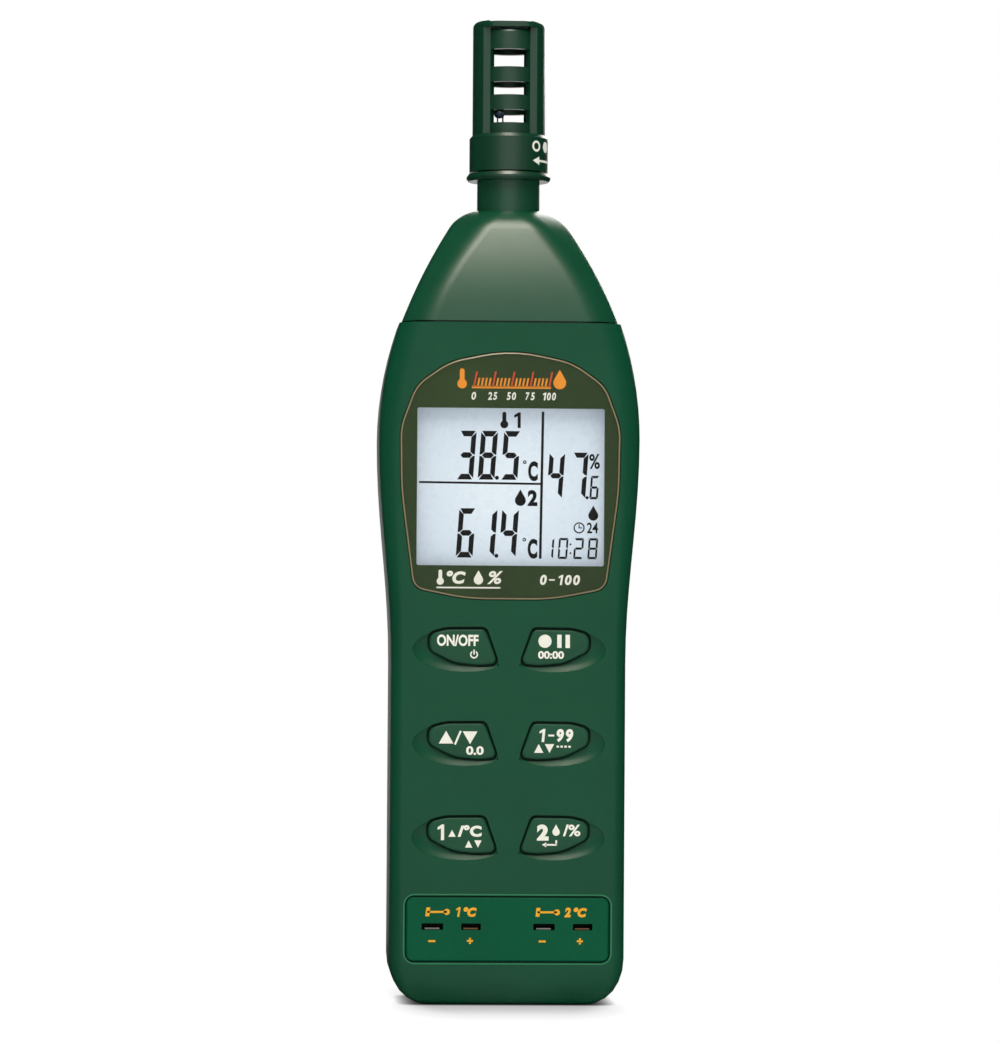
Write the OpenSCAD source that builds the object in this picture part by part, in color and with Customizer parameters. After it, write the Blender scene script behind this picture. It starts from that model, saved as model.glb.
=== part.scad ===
// Hand-held digital hygro-thermometer, standing on its foot
// X points right, Y points to the back and Z points up, in millimetres

/* [Case] */
// Height of the case from its foot to the seam under the nose
case_h = 139.5; // [137:0.5:144]
// Width of the straight grip
grip_w = 48.2; // [48:0.1:51]
// Height at which the grip starts to widen
grip_h = 70; // [60:1:78]
// Width at the display
waist_w = 53.6; // [53:0.2:57]
// Distance from the seam down to the widest place
waist_drop = 23.8; // [20:0.2:30]
// Width of the case at the seam
seam_w = 45.6; // [45.4:0.2:48]
// Thickness of the moulded walls
wall = 2.2; // [2:0.1:2.5]
// Distance of the parting plane behind the front face
parting_d = 15; // [14:0.5:17]
// Reach of the rounded front edge across the grip
grip_edge = 2.4; // [2:0.1:3.5]
// Reach of the rounded front edge across the seam
seam_edge = 5.6; // [4:0.1:6.5]
// Depth of the rounded front edge
front_edge_d = 4.5; // [3:0.1:6]
// Radius of the rounded rear edge
rear_edge = 7; // [5:0.5:8]
// Reach of the rounded foot corner across the width
foot_corner_w = 7.5; // [4:0.5:9]
// Height of the rounded foot corner
foot_corner_h = 9.4; // [6:0.2:10]
// Rounding of the foot's front and rear edge
foot_edge = 3; // [2:0.5:4]

/* [Nose] */
// Height of the nose from the seam to the shoulder
nose_h = 24.4; // [22:0.1:26]
// Width of the nose at the seam
nose_w = 44.8; // [44:0.1:45.2]
// Step from the case's faces to the nose's faces at the seam
nose_step = 0.3; // [0.1:0.1:0.5]
// Width at which the straight flanks would meet the shoulder
shoulder_w = 19.6; // [18:0.2:22]
// Thickness at which the sloping faces would meet the shoulder
shoulder_t = 19; // [18:0.2:20]
// Swelling of the flanks between seam and shoulder
nose_bow = 0.9; // [0:0.1:1.5]
// Radius of the shoulder
shoulder_r = 9.5; // [8:0.5:11]
// Radius of the neck
neck_r = 6.5; // [6.3:0.1:7]
// Height of the neck above the shoulder
neck_h = 5.9; // [4:0.1:8]
// Height of the collar that the case holds
spigot_h = 5.5; // [4:0.5:5.5]

/* [Sensor head] */
// Outer radius of the fixed guard tube
guard_r = 6.4; // [6.2:0.1:6.7]
// Wall of the guard tube
guard_wall = 1.2; // [1:0.1:1.4]
// Height of the guard above the neck
guard_h = 31.5; // [30.5:0.1:34]
// Radius of the guard's flange
flange_r = 8.75; // [8.5:0.05:9.5]
// Thickness of the guard's flange
flange_t = 1.9; // [1.6:0.1:2.2]
// Width of the guard's windows at its surface
window_w = 8.1; // [6:0.1:8.5]
// Height of the top window
window_top_h = 3.7; // [3:0.1:4]
// Height of the two lower windows
window_h = 2.7; // [2:0.1:3]
// Bars between the windows
window_bar = 3.1; // [2.6:0.1:3.4]
// Height of the lowest sill above the neck
window_sill = 11.9; // [11.5:0.1:12.5]
// Wall of the turning cap
cap_wall = 1.1; // [1:0.05:1.3]
// Running clearance between guard and cap
cap_fit = 0.06; // [0.04:0.01:0.1]
// Clearance over and under the cap
cap_gap = 0.3; // [0.2:0.05:0.4]
// Height of the cap's collar
collar_h = 7.7; // [7:0.1:8.5]
// Extra wall of the collar
collar_step = 0.6; // [0.3:0.05:1]
// Thickness of the cap's top
cap_top_t = 1.1; // [0.9:0.1:1.4]
// Height of the two ears over the cap's top
cap_ear_h = 0.4; // [0.2:0.1:0.8]
// Width between the two pillars
cap_opening_w = 11.2; // [9:0.2:11.8]

/* [Display] */
// Height of the lens
lens_h = 51; // [49:0.5:52]
// Distance from the seam down to the lens centre
lens_drop = 31.5; // [30.5:0.5:33]
// Border of the lens at each side of the window
lens_border = 2.5; // [2:0.1:2.8]
// Thickness of the lens
lens_t = 1.2; // [0.8:0.1:1.2]
// Gap round the lens
lens_gap = 0.2; // [0.1:0.05:0.3]
// Flat margin between the display window and the rounded edge of the case
view_margin = 0.9; // [0.8:0.1:3]
// Height of the window in the case
view_h = 33.8; // [32:0.2:35]
// Distance from the lens centre down to the window centre
view_drop = 2.4; // [1.8:0.2:3]
// Overlap of the glass behind the case
glass_rim = 1.1; // [0.8:0.1:1.3]
// Height of the glass strip that carries the contacts
contact_h = 2.9; // [2.6:0.1:3.2]
// Thickness of one glass sheet
glass_t = 1.1; // [0.7:0.1:1.1]
// Thickness of the foam gasket
gasket_t = 0.5; // [0.3:0.1:0.8]
// Thickness of the backlight
light_t = 2.6; // [2:0.1:3]

/* [Keys] */
// Width of a key hole
key_w = 14.6; // [13:0.2:15]
// Height of a key hole
key_h = 8.2; // [7:0.2:9]
// Distance between the two columns
key_column = 19; // [17.6:0.2:20]
// Distance from the input panel up to the lowest row
key_above = 12.4; // [11:0.2:14]
// Distance from the lens down to the top row
key_below = 9.4; // [9:0.2:12]
// Gap round a key
key_gap = 0.45; // [0.3:0.05:0.6]
// Travel of a key
key_travel = 1; // [0.6:0.1:1.2]
// Depth of the finger scoops
scoop_d = 1.4; // [0.8:0.1:1.5]
// Width of the finger scoops
scoop_w = 21.6; // [20:0.2:22]
// Height of the finger scoops
scoop_h = 9.2; // [9:0.2:10]

/* [Inputs] */
// Distance from the side of the grip to the input panel's recess
panel_side = 3.15; // [3:0.05:4.5]
// Height of the input panel's recess
panel_h = 13.6; // [12:0.1:14.4]
// Height of the panel centre
panel_z = 15.5; // [15:0.1:16]
// Thickness of the input panel
panel_t = 1.5; // [1:0.1:1.6]
// Gap round the input panel
panel_gap = 0.25; // [0.15:0.05:0.35]
// Distance between the two inputs
input_pitch = 22.8; // [21:0.2:23.4]
// Distance between the two slots of one input
slot_pitch = 7.9; // [7.5:0.1:8.1]
// Width of the negative slot
slot_wide = 4.4; // [4:0.1:4.6]
// Width of the positive slot
slot_narrow = 4; // [3.4:0.1:4.4]
// Height of the slots
slot_h = 1.35; // [1.2:0.05:1.6]

/* [Board] */
// Gap between the main board and the side walls
board_side = 0.8; // [0.6:0.05:1.2]
// Room between the main board and the battery compartment
board_room = 1.8; // [1.8:0.1:5]
// Thickness of the main board
board_t = 1.6; // [1:0.2:1.6]
// Radius of the board screws
board_screw_r = 1; // [0.8:0.1:1.2]
// Radius of the case screws
case_screw_r = 1.4; // [1.2:0.1:1.6]
// Height of the lower case screws
screw_low_z = 7.2; // [7:0.1:7.6]
// Distance of the lower case screws from the side of the grip
screw_low_side = 5.9; // [5.8:0.05:6.3]
// Distance of the upper case screws from the side of the seam
screw_top_side = 6; // [5.8:0.1:7]

/* [Battery] */
// Width of the battery
battery_w = 26.5; // [25.5:0.1:26.7]
// Thickness of the battery
battery_t = 17.5; // [16.5:0.1:17.5]
// Height of the battery without its terminals
battery_h = 46.4; // [46:0.1:46.6]
// Clearance round the battery
battery_gap = 0.4; // [0.3:0.05:0.5]
// Room for the snap connector over the battery
clip_room = 7; // [6.5:0.1:7.5]
// Gap round the battery door
door_gap = 0.25; // [0.2:0.05:0.4]
// Height of the door's lower edge
door_z = 10.6; // [10.3:0.1:11]
// Radius of the door screw
door_screw_r = 1.25; // [1:0.05:1.5]

/* [Hidden] */

$fn = 48;
cut = 1; // overshoot of cutting shapes
fuse = 0.4; // overlap of pieces that are one
corner_steps = 6;
green = [0.10, 0.30, 0.21];
dark_green = [0.05, 0.20, 0.14];
waist_steps = 9;
top_steps = 7;
nose_steps = 8;
shoulder_steps = 8;

// Depths behind the front face: the display, the board, the battery compartment and the door
glass_d = wall + gasket_t;
light_d = glass_d + 2 * glass_t;
frame_floor = 0.6;
board_d = light_d + light_t + frame_floor;
board_back = board_d + board_t;
bay_skin = 1.2;
battery_rest = 0.1;
pad_t = 0.4;
battery_depth = bay_skin + battery_rest + battery_t + battery_rest + pad_t;
case_t = board_back + board_room + battery_depth + wall;
front_y = -case_t / 2;
rear_y = case_t / 2;
parting_y = front_y + parting_d;

// Heights of the sensor head
shoulder_z = case_h + nose_h;
neck_z = shoulder_z + neck_h;
cap_z = neck_z + flange_t;
cap_r = guard_r + cap_fit + cap_wall;
collar_r = cap_r + collar_step;
guard_top = neck_z + guard_h;
disc_z = guard_top + cap_gap;
cap_top = disc_z + cap_top_t + cap_ear_h;
sill_1 = neck_z + window_sill;
sill_2 = sill_1 + window_h + window_bar;
sill_3 = sill_2 + window_h + window_bar;

// Display stack: its half width is the mean of what the case leaves beside its lower and its upper corners
waist_h = case_h - waist_drop;
lens_z = case_h - lens_drop;
view_z = lens_z - view_drop;
frame_wall = 1.1;
frame_side = 0.6;
rear_glass_h = view_h;
glass_h = rear_glass_h + 2 * contact_h;
frame_h = glass_h + 2 * frame_wall;
frame_low = view_z - frame_h / 2;
frame_high = view_z + frame_h / 2;
lower_room = case_half(frame_low) - wall - frame_wall - glass_rim - frame_side;
upper_room = case_half(frame_high) - case_edge(frame_high) - view_margin;
view_w = lower_room + upper_room;
lens_w = view_w + 2 * lens_border;
glass_w = view_w + 2 * glass_rim;
frame_w = glass_w + 2 * frame_wall;
zebra_t = contact_h - 1;
zebra_z = (rear_glass_h + contact_h) / 2;

// Keys, in three rows that share the room between panel and lens
panel_w = grip_w - 2 * panel_side;
key_z = panel_z + panel_h / 2 + key_above;
key_row = (lens_z - lens_h / 2 - key_below - key_z) / 2;
key_stem_r = 2;
key_flange = 0.8;
key_rest = 0.2;
key_sink = 0.15;
key_round = 0.5;
flange_d = wall + key_rest;
flange_thick = 1;
stem_d = flange_d + flange_thick + 0.4;
dome_gap = 0.3;
dome_d = stem_d + dome_gap;
dome_wall = 0.9;
dome_top_r = 2.3;
dome_r = 3.6;
pill_r = 1.2;
mat_t = 0.8;
mat_d = board_d - mat_t;

// Board and screws
board_w = grip_w - 2 * wall - 2 * board_side;
board_bottom = 10.4;
screw_head_r = 2 * case_screw_r - 0.1;
boss_r = 2.6;
rear_boss_r = 4.1;
screw_top_z = frame_high + boss_r + 0.4;
board_top = screw_top_z - boss_r - 0.2;
counterbore_y = 4;
board_boss_r = 1.9;
board_screw_x = board_w / 2 - 2.1;
board_screw_z = [key_z - scoop_h / 2 - 3.7, frame_low - board_boss_r - 0.4];

// Battery bay, from the compartment's floor up
bay_wall = 2.2;
door_ledge = 1.4;
bay_w = battery_w + 2 * battery_gap;
bay_floor = door_z + 4.2;
battery_z = bay_floor + bay_wall - 0.6 + 0.2;
bay_top = battery_z + battery_h + clip_room;
battery_back = rear_y - wall - pad_t - battery_rest;
battery_front = battery_back - battery_t;
bay_front = battery_front - battery_rest - bay_skin;
door_w = bay_w + 2 * door_ledge - 2 * door_gap;
door_top = bay_top + bay_wall + 7.6;
door_screw_z = bay_top + bay_wall + 3.4;
tongue_x = 9;
tongue_w = 5;
tongue_h = 2;
clip_z = battery_z + battery_h + 0.3;
clip_t = 4.6;
terminal_x = 6.35;
terminal_h = 2.1;
stud_r = 0.44 * terminal_x;
socket_r = 0.57 * terminal_x;

function ease(t) = (1 - cos(180 * min(1, max(0, t)))) / 2;
function mix(a, b, t) = a + (b - a) * t;
function quarter(u, reach, rise) = u >= rise ? 0 : reach * (1 - sqrt(1 - pow((rise - u) / rise, 2)));

// Outline helpers: a polygon whose corners are rounded by arcs
function unit(v) = v / norm(v);
function turn(a, b) = let (d = b - a) d > 180 ? d - 360 : d < -180 ? d + 360 : d;
function corner_arc(before, at, after, r, n) =
    let (
        u = unit(before - at),
        v = unit(after - at),
        half = acos(u * v) / 2,
        centre = at + unit(u + v) * r / sin(half),
        p = at + u * r / tan(half) - centre,
        q = at + v * r / tan(half) - centre,
        a = atan2(p.y, p.x),
        sweep = turn(a, atan2(q.y, q.x))
    )
    [for (i = [0:n]) centre + r * [cos(a + sweep * i / n), sin(a + sweep * i / n)]];
function rounded(points, radii, n = 5) =
    let (last = len(points))
    [for (i = [0:last - 1])
        each corner_arc(points[(i + last - 1) % last], points[i], points[(i + 1) % last], radii[i], n)];
function box_outline(w, h, r) =
    rounded([[w / 2, h / 2], [-w / 2, h / 2], [-w / 2, -h / 2], [w / 2, -h / 2]], [r, r, r, r], 4);

// One level of a moulded skin: half width w, front depth f, rear depth b and the reaches of its corners
function level(z, w, f, b, edge_x, edge_f, edge_b) =
    let (
        fx = min(edge_x, 0.98 * w),
        fy = min(edge_f, 0.98 * f),
        bx = min(edge_b, 0.98 * w),
        by = min(edge_b, 0.98 * b),
        step = 90 / corner_steps
    )
    [
        for (i = [0:corner_steps]) let (a = -90 + i * step) [w - fx + fx * cos(a), -f + fy + fy * sin(a), z],
        for (i = [0:corner_steps]) let (a = i * step) [w - bx + bx * cos(a), b - by + by * sin(a), z],
        for (i = [0:corner_steps]) let (a = 90 + i * step) [-w + bx + bx * cos(a), b - by + by * sin(a), z],
        for (i = [0:corner_steps]) let (a = 180 + i * step) [-w + fx + fx * cos(a), -f + fy + fy * sin(a), z]
    ];

// Points of an outline in X and Z, set at a depth behind the front face, for a loft that runs backwards
function y_level(outline, d) = [for (i = [len(outline) - 1:-1:0]) [outline[i].x, front_y + d, outline[i].y]];

// Closed solid through levels that all have the same number of points
module loft(levels) {
    n = len(levels[0]);
    m = len(levels);
    polyhedron(
        points = [for (ring = levels) each ring],
        faces = [
            [for (j = [0:n - 1]) j],
            for (i = [0:m - 2], j = [0:n - 1])
                let (k = (j + 1) % n)
                each [[i * n + j, (i + 1) * n + j, (i + 1) * n + k], [i * n + j, (i + 1) * n + k, i * n + k]],
            [for (j = [0:n - 1]) (m - 1) * n + n - 1 - j]
        ]
    );
}

// Half width of the case without its foot corners
function case_half(z) =
    z <= waist_h
        ? mix(grip_w, waist_w, ease((z - grip_h) / (waist_h - grip_h))) / 2
        : mix(waist_w, seam_w, pow((z - waist_h) / (case_h - waist_h), 2)) / 2;
function case_edge(z) = mix(grip_edge, seam_edge, ease((z - grip_h) / (case_h - grip_h)));
function case_level(z, inset) =
    let (
        up = min(z, case_h),
        w = case_half(up) - inset - quarter(z - inset, foot_corner_w - inset, foot_corner_h - inset),
        d = case_t / 2 - inset - quarter(z - inset, max(0.4, foot_edge - inset), max(0.5, foot_edge - inset))
    )
    level(z, w, d, d, max(0.6, case_edge(up) - inset), max(0.8, front_edge_d - inset), rear_edge - inset);
function foot_heights(inset) = [for (a = [90:-15:0]) inset + (foot_corner_h - inset) * (1 - sin(a))];
function case_heights(inset, top) = concat(
    foot_heights(inset),
    [grip_h],
    [for (i = [1:waist_steps]) mix(grip_h, waist_h, i / waist_steps)],
    [for (i = [1:top_steps]) mix(waist_h, case_h, i / top_steps)],
    top > case_h ? [top] : []
);
module case_skin(inset, top = case_h) {
    loft([for (z = case_heights(inset, top)) case_level(z, inset)]);
}

// Half size of the nose, from its size at the seam to the corner at the shoulder, with the shoulder's arc
function nose_half(z, low, high) =
    let (
        t = (z - case_h) / nose_h,
        flank = mix(low, high, t) + 4 * nose_bow * t * (1 - t),
        lean = atan((low - high + 4 * nose_bow) / nose_h),
        arc_x = high - shoulder_r * (1 - sin(lean)) / cos(lean),
        arc_z = shoulder_z - shoulder_r
    )
    z <= arc_z + shoulder_r * sin(lean) ? flank : min(flank, arc_x + sqrt(max(0, pow(shoulder_r, 2) - pow(z - arc_z, 2))));
nose_edge_share = 0.26;
rear_edge_share = 0.42;
function nose_level(z, inset) =
    let (
        at = min(z + 0.7 * inset, shoulder_z),
        w = nose_half(at, nose_w / 2, shoulder_w / 2) - inset,
        d = nose_half(at, case_t / 2 - nose_step, shoulder_t / 2) - inset
    )
    level(z, w, d, d, nose_edge_share * w, nose_edge_share * d, rear_edge_share * min(w, d));
arc_bottom = shoulder_z - shoulder_r;
function nose_heights() = concat(
    [for (i = [0:nose_steps]) mix(case_h, arc_bottom, i / nose_steps)],
    [for (i = [1:shoulder_steps]) arc_bottom + shoulder_r * sin(90 * i / shoulder_steps)]
);

// A flat shape in X and Z, extruded from y0 back to y1
module slab(y0, y1) {
    translate([0, y1, 0]) rotate([90, 0, 0]) linear_extrude(y1 - y0) children();
}
// The same, between two depths behind the front face
module at_depth(d0, d1) {
    slab(front_y + d0, front_y + d1) children();
}
module plate(w, h, r = 0.5) {
    polygon(box_outline(w, h, r));
}
module y_rod(x, z, y0, y1, r) {
    translate([x, y0, z]) rotate([-90, 0, 0]) cylinder(h = y1 - y0, r = r);
}

// Lens outline: its peak, then the right half from the top down and the left half back up
lens_drawn = [22.3, 25.5];
lens_peak = 26;
lens_half = [[12.6, 23.4], [19.4, 18.6], [22.6, 10], [22.4, -3], [19.75, -23], [8.6, -25.2]];
lens_radii = [30, 14, 8, 12, 60, 3, 40];
function lens_points(grow) =
    let (
        sx = (lens_w / 2 + grow) / lens_drawn.x,
        sz = (lens_h / 2 + grow) / lens_drawn.y,
        half = [for (p = lens_half) [p.x * sx, lens_z + p.y * sz]],
        n = len(half)
    )
    rounded(
        concat([[0, lens_z + lens_peak * sz]], half, [for (i = [n - 1:-1:0]) [-half[i].x, half[i].y]]),
        sx * concat(lens_radii, [for (i = [n:-1:1]) lens_radii[i]])
    );

// Key outline of the left column, grown by a margin; the right column mirrors it
key_corners = [
    [-0.5, 0.36], [-0.497, -0.1], [-0.13, -0.45], [0.25, -0.52], [0.527, -0.47], [0.335, 0.5], [-0.24, 0.49]
];
key_radii = [0.24, 0.25, 1.2, 1.5, 0.16, 0.18, 1];
function key_points(grow) = rounded(
    [for (p = key_corners) [p.x * (key_w + 2 * grow), p.y * (key_h + 2 * grow)]],
    [for (r = key_radii) max(0.3, r * key_h + 0.6 * grow)],
    4
);
module key_outline(grow = 0) {
    polygon(key_points(grow));
}
module at_key(column, row) {
    translate([(column - 0.5) * key_column, 0, key_z + (2 - row) * key_row]) mirror([column, 0, 0]) children();
}
module each_key() {
    for (column = [0, 1], row = [0:2]) at_key(column, row) children();
}
// A dished scoop: deepest beside the key, running out at the outer and lower rim, and ended in line with the
// key's slanted side
scoop_shift = 0.5;
scoop_drop = 0.6;
scoop_rings = 5;
scoop_points = 24;
scoop_lip = 0.2;
scoop_inside = 0.25;
function scoop_end(z) =
    let (low = key_corners[4], high = key_corners[5])
    mix(low.x, high.x, (z / key_h - low.y) / (high.y - low.y)) * key_w - scoop_inside;
function scoop_level(i) =
    let (
        a = mix(-10, 80, i / scoop_rings),
        lip = i == 0 ? 1 + scoop_lip / scoop_h : 1,
        outline = [for (j = [0:scoop_points - 1])
            let (b = 360 * j / scoop_points)
            lip * [scoop_w / 2 * cos(a) * cos(b) + scoop_shift, -scoop_drop + scoop_h / 2 * cos(a) * sin(b)]]
    )
    y_level([for (p = outline) [min(p.x, scoop_end(p.y)), p.y]], i == 0 ? -scoop_lip : scoop_d * sin(a));
module scoop() {
    loft([for (i = [0:scoop_rings]) scoop_level(i)]);
}

function slot_x(input, sign) = (input - 1.5) * input_pitch + sign * slot_pitch / 2;
module slots(grow) {
    for (input = [1, 2]) {
        translate([slot_x(input, -1), panel_z + 0.5]) plate(slot_wide + grow, slot_h + grow, 0.2);
        translate([slot_x(input, 1), panel_z + 0.5]) plate(slot_narrow + grow, slot_h + grow, 0.2);
    }
}
socket_w = 14;
socket_h = 7;
socket_gap = 0.1;
module socket_outline(input, grow) {
    translate([(input - 1.5) * input_pitch, panel_z]) plate(socket_w + grow, socket_h + grow, 0.4);
}

module case_screw_places() {
    for (x = [-1, 1]) {
        translate([x * (grip_w / 2 - screw_low_side), 0, screw_low_z]) children();
        translate([x * (seam_w / 2 - screw_top_side), 0, screw_top_z]) children();
    }
}
module board_screw_places() {
    for (x = [-1, 1], z = board_screw_z) translate([x * board_screw_x, 0, z]) children();
}

module front_case() {
    color(green) difference() {
        union() {
            difference() {
                intersection() {
                    case_skin(0);
                    translate([-waist_w, front_y - cut, -cut])
                        cube([2 * waist_w, parting_d + cut, case_h + 2 * cut]);
                }
                case_skin(wall, case_h + cut);
            }
            case_screw_places() y_rod(0, 0, front_y + wall - 0.4, parting_y, boss_r);
            board_screw_places() y_rod(0, 0, front_y + wall - 0.4, front_y + board_d, board_boss_r);
        }
        at_depth(-cut, lens_t) polygon(lens_points(lens_gap));
        at_depth(lens_t - cut, wall + cut) translate([0, view_z]) plate(view_w, view_h, 0.6);
        each_key() at_depth(-cut, wall + cut) key_outline();
        each_key() scoop();
        at_depth(-cut, panel_t) translate([0, panel_z]) plate(panel_w, panel_h, 1.7);
        for (input = [1, 2]) at_depth(panel_t - cut, wall + cut) socket_outline(input, 2 * socket_gap);
        case_screw_places() y_rod(0, 0, front_y + wall + 0.6, parting_y + cut, case_screw_r + 0.05);
        board_screw_places() y_rod(0, 0, front_y + wall + 0.6, front_y + board_d + cut, board_screw_r + 0.05);
    }
}

module rear_case() {
    ledge_y = rear_y - wall;
    color(green) difference() {
        union() {
            difference() {
                intersection() {
                    case_skin(0);
                    translate([-waist_w, parting_y, -cut])
                        cube([2 * waist_w, case_t - parting_d + cut, case_h + 2 * cut]);
                }
                case_skin(wall, case_h + cut);
            }
            // Battery bay, with the ledge that the door lies on
            translate([-bay_w / 2 - bay_wall, bay_front, bay_floor])
                cube([bay_w + 2 * bay_wall, ledge_y + fuse - bay_front, bay_top + bay_wall - bay_floor]);
            translate([-bay_w / 2 - bay_wall, ledge_y - 2, bay_top])
                cube([bay_w + 2 * bay_wall, 2 + fuse, door_top + 2 - bay_top]);
            y_rod(0, door_screw_z, ledge_y - 8, ledge_y, 3.2);
            intersection() {
                case_skin(0.6);
                case_screw_places() y_rod(0, 0, parting_y, rear_y, rear_boss_r);
            }
        }
        slab(ledge_y, rear_y + cut) translate([0, (door_z + door_top) / 2])
            square([door_w + 2 * door_gap, door_top - door_z + 2 * door_gap], center = true);
        translate([-bay_w / 2, battery_front - battery_rest, battery_z - 0.2])
            cube([bay_w, ledge_y + cut - battery_front + battery_rest, bay_top - battery_z + 0.2]);
        y_rod(0, door_screw_z, ledge_y - 6.6, ledge_y + cut, door_screw_r + 0.5);
        translate([lead_x - 1.2, lead_y - 1.2, bay_top - cut]) cube([lead_pitch + 2.4, 2.4, bay_wall + 2 * cut]);
        case_screw_places() {
            y_rod(0, 0, parting_y - cut, rear_y, case_screw_r + 0.2);
            y_rod(0, 0, counterbore_y, rear_y + cut, screw_head_r + 0.4);
        }
    }
}

module nose_cover() {
    bore_r = guard_r - guard_wall - 0.1;
    cavity_top = shoulder_z - wall;
    color(green) difference() {
        union() {
            loft([for (z = nose_heights()) nose_level(z, 0)]);
            loft([for (z = [case_h - spigot_h, case_h, case_h + 1.6]) case_level(z, wall + 0.2)]);
            translate([0, 0, shoulder_z - 3]) cylinder(h = neck_h + 3, r = neck_r);
        }
        loft(concat(
            [for (z = [case_h - spigot_h - cut, case_h, case_h + 1.4]) case_level(z, wall + 1.7)],
            [for (i = [0:6]) let (z = mix(case_h + 3.2, cavity_top, i / 6)) nose_level(z, wall)]
        ));
        translate([0, 0, cavity_top - cut]) cylinder(h = wall + neck_h + 3 * cut, r = bore_r);
    }
}

module display_lens() {
    color([0.25, 0.30, 0.18]) at_depth(0, lens_t) polygon(lens_points(0));
}

module display_gasket() {
    color("dimgray") at_depth(wall, glass_d) translate([0, view_z]) difference() {
        plate(glass_w, glass_h);
        plate(view_w, view_h);
    }
}

module lcd_panel() {
    color([0.75, 0.82, 0.86]) translate([0, 0, view_z]) {
        at_depth(glass_d, glass_d + glass_t) plate(glass_w - 0.2, glass_h - 0.2, 0.2);
        at_depth(glass_d + glass_t, light_d) plate(glass_w - 0.2, rear_glass_h - 0.2, 0.2);
    }
}

module lcd_frame() {
    color("ivory") translate([0, 0, view_z]) difference() {
        at_depth(glass_d, board_d) plate(frame_w, frame_h, 0.8);
        at_depth(glass_d - cut, glass_d + glass_t) plate(glass_w, glass_h, 0.3);
        at_depth(glass_d, board_d - frame_floor) plate(glass_w, rear_glass_h, 0.3);
        for (side = [-1, 1])
            at_depth(glass_d, board_d + cut)
                translate([0, side * zebra_z]) plate(glass_w - 1.4, zebra_t + 0.1, 0.1);
    }
}

module backlight() {
    color("whitesmoke") at_depth(light_d, light_d + light_t)
        translate([0, view_z]) plate(glass_w - 0.4, rear_glass_h - 0.3, 0.3);
}

module zebra_strips() {
    color("mediumvioletred") for (side = [-1, 1])
        at_depth(glass_d + glass_t, board_d)
            translate([0, view_z + side * zebra_z]) plate(glass_w - 1.6, zebra_t, 0.1);
}

module main_board() {
    color([0.05, 0.35, 0.15]) difference() {
        at_depth(board_d, board_back)
            translate([0, (board_top + board_bottom) / 2]) plate(board_w, board_top - board_bottom, 1);
        board_screw_places() y_rod(0, 0, front_y, parting_y + 2, board_screw_r + 0.1);
    }
}

// Parts on the back of the board behind the display, as [x, height over its centre, width, length, thickness]
chips = [[-9, -5, 12, 12, 2], [-12, 9.6, 5, 6.4, 1.6], [8, 7.6, 4, 11, 3.4], [0.5, 10, 5, 4, 1.6]];
buzzer_r = 5.2;
buzzer_h = 4.2;
buzzer_x = 12;
buzzer_drop = 9.6;
can_r = 1.6;
can_h = 5.5;
can_x = [-17, -13.5];
can_drop = 15.6;
module board_components() {
    y = front_y + board_back;
    color([0.12, 0.12, 0.13]) {
        for (c = chips) at_depth(board_back, board_back + c[4]) translate([c[0], view_z + c[1]]) plate(c[2], c[3], 0.3);
        y_rod(buzzer_x, view_z - buzzer_drop, y, y + buzzer_h, buzzer_r);
        for (x = can_x) y_rod(x, view_z - can_drop, y, y + can_h, can_r);
    }
}

// Under each dome a pill reaches down to the board but for the key's travel
module keypad_mat() {
    mat_w = key_column + key_w;
    mat_h = 2 * key_row + 2 * dome_r + 1.5;
    color("gainsboro") difference() {
        union() {
            at_depth(mat_d, board_d) translate([0, key_z + key_row]) plate(mat_w, mat_h, 2);
            each_key() dome(dome_d, mat_d + 0.2, 0);
        }
        each_key() difference() {
            dome(dome_d + dome_wall, board_d + cut, 0.6);
            y_rod(0, 0, front_y + dome_d, front_y + board_d - key_travel + dome_gap, pill_r);
        }
    }
}
module dome(d0, d1, inset) {
    translate([0, front_y + d0, 0]) rotate([-90, 0, 0])
        cylinder(h = d1 - d0, r1 = dome_top_r - inset, r2 = dome_r - inset);
}

module key(column, row) {
    color(green) at_key(column, row) {
        loft([
            for (a = [0:30:90])
                y_level(key_points(-key_gap - key_round * (1 - sin(a))), key_sink + key_round * (1 - cos(a))),
            y_level(key_points(-key_gap), flange_d + 0.1)
        ]);
        at_depth(flange_d, flange_d + flange_thick) key_outline(key_flange);
        y_rod(0, 0, front_y + flange_d, front_y + stem_d, key_stem_r);
    }
}

module input_panel() {
    color(green) difference() {
        at_depth(0, panel_t) translate([0, panel_z]) plate(panel_w - 2 * panel_gap, panel_h - 2 * panel_gap, 1.45);
        at_depth(-cut, panel_t + cut) slots(0);
    }
}

contact_t = 0.3;
blade_w = 3;
tail_w = 2;
module input_socket(input) {
    color([0.15, 0.12, 0.10]) difference() {
        at_depth(panel_t, board_d) socket_outline(input, 0);
        at_depth(panel_t - cut, board_d - 1) slots(0.1);
        at_depth(board_d - 1 - cut, board_d + cut) for (sign = [-1, 1])
            translate([slot_x(input, sign), contact_z]) plate(tail_w + 0.2, contact_t + 0.1, 0.1);
    }
}
contact_z = panel_z + 0.5 - slot_h / 2 + contact_t / 2 + 0.05;

// One leaf: a blade along the slot's lower wall and a tail that reaches the board
module contact(input, sign) {
    translate([slot_x(input, sign), 0, contact_z]) {
        at_depth(panel_t + 0.4, board_d - 1.1) plate(blade_w, contact_t, 0.1);
        at_depth(board_d - 1.2, board_d) plate(tail_w, contact_t, 0.1);
    }
}
module contacts(sign) {
    for (input = [1, 2]) contact(input, sign);
}

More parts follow.
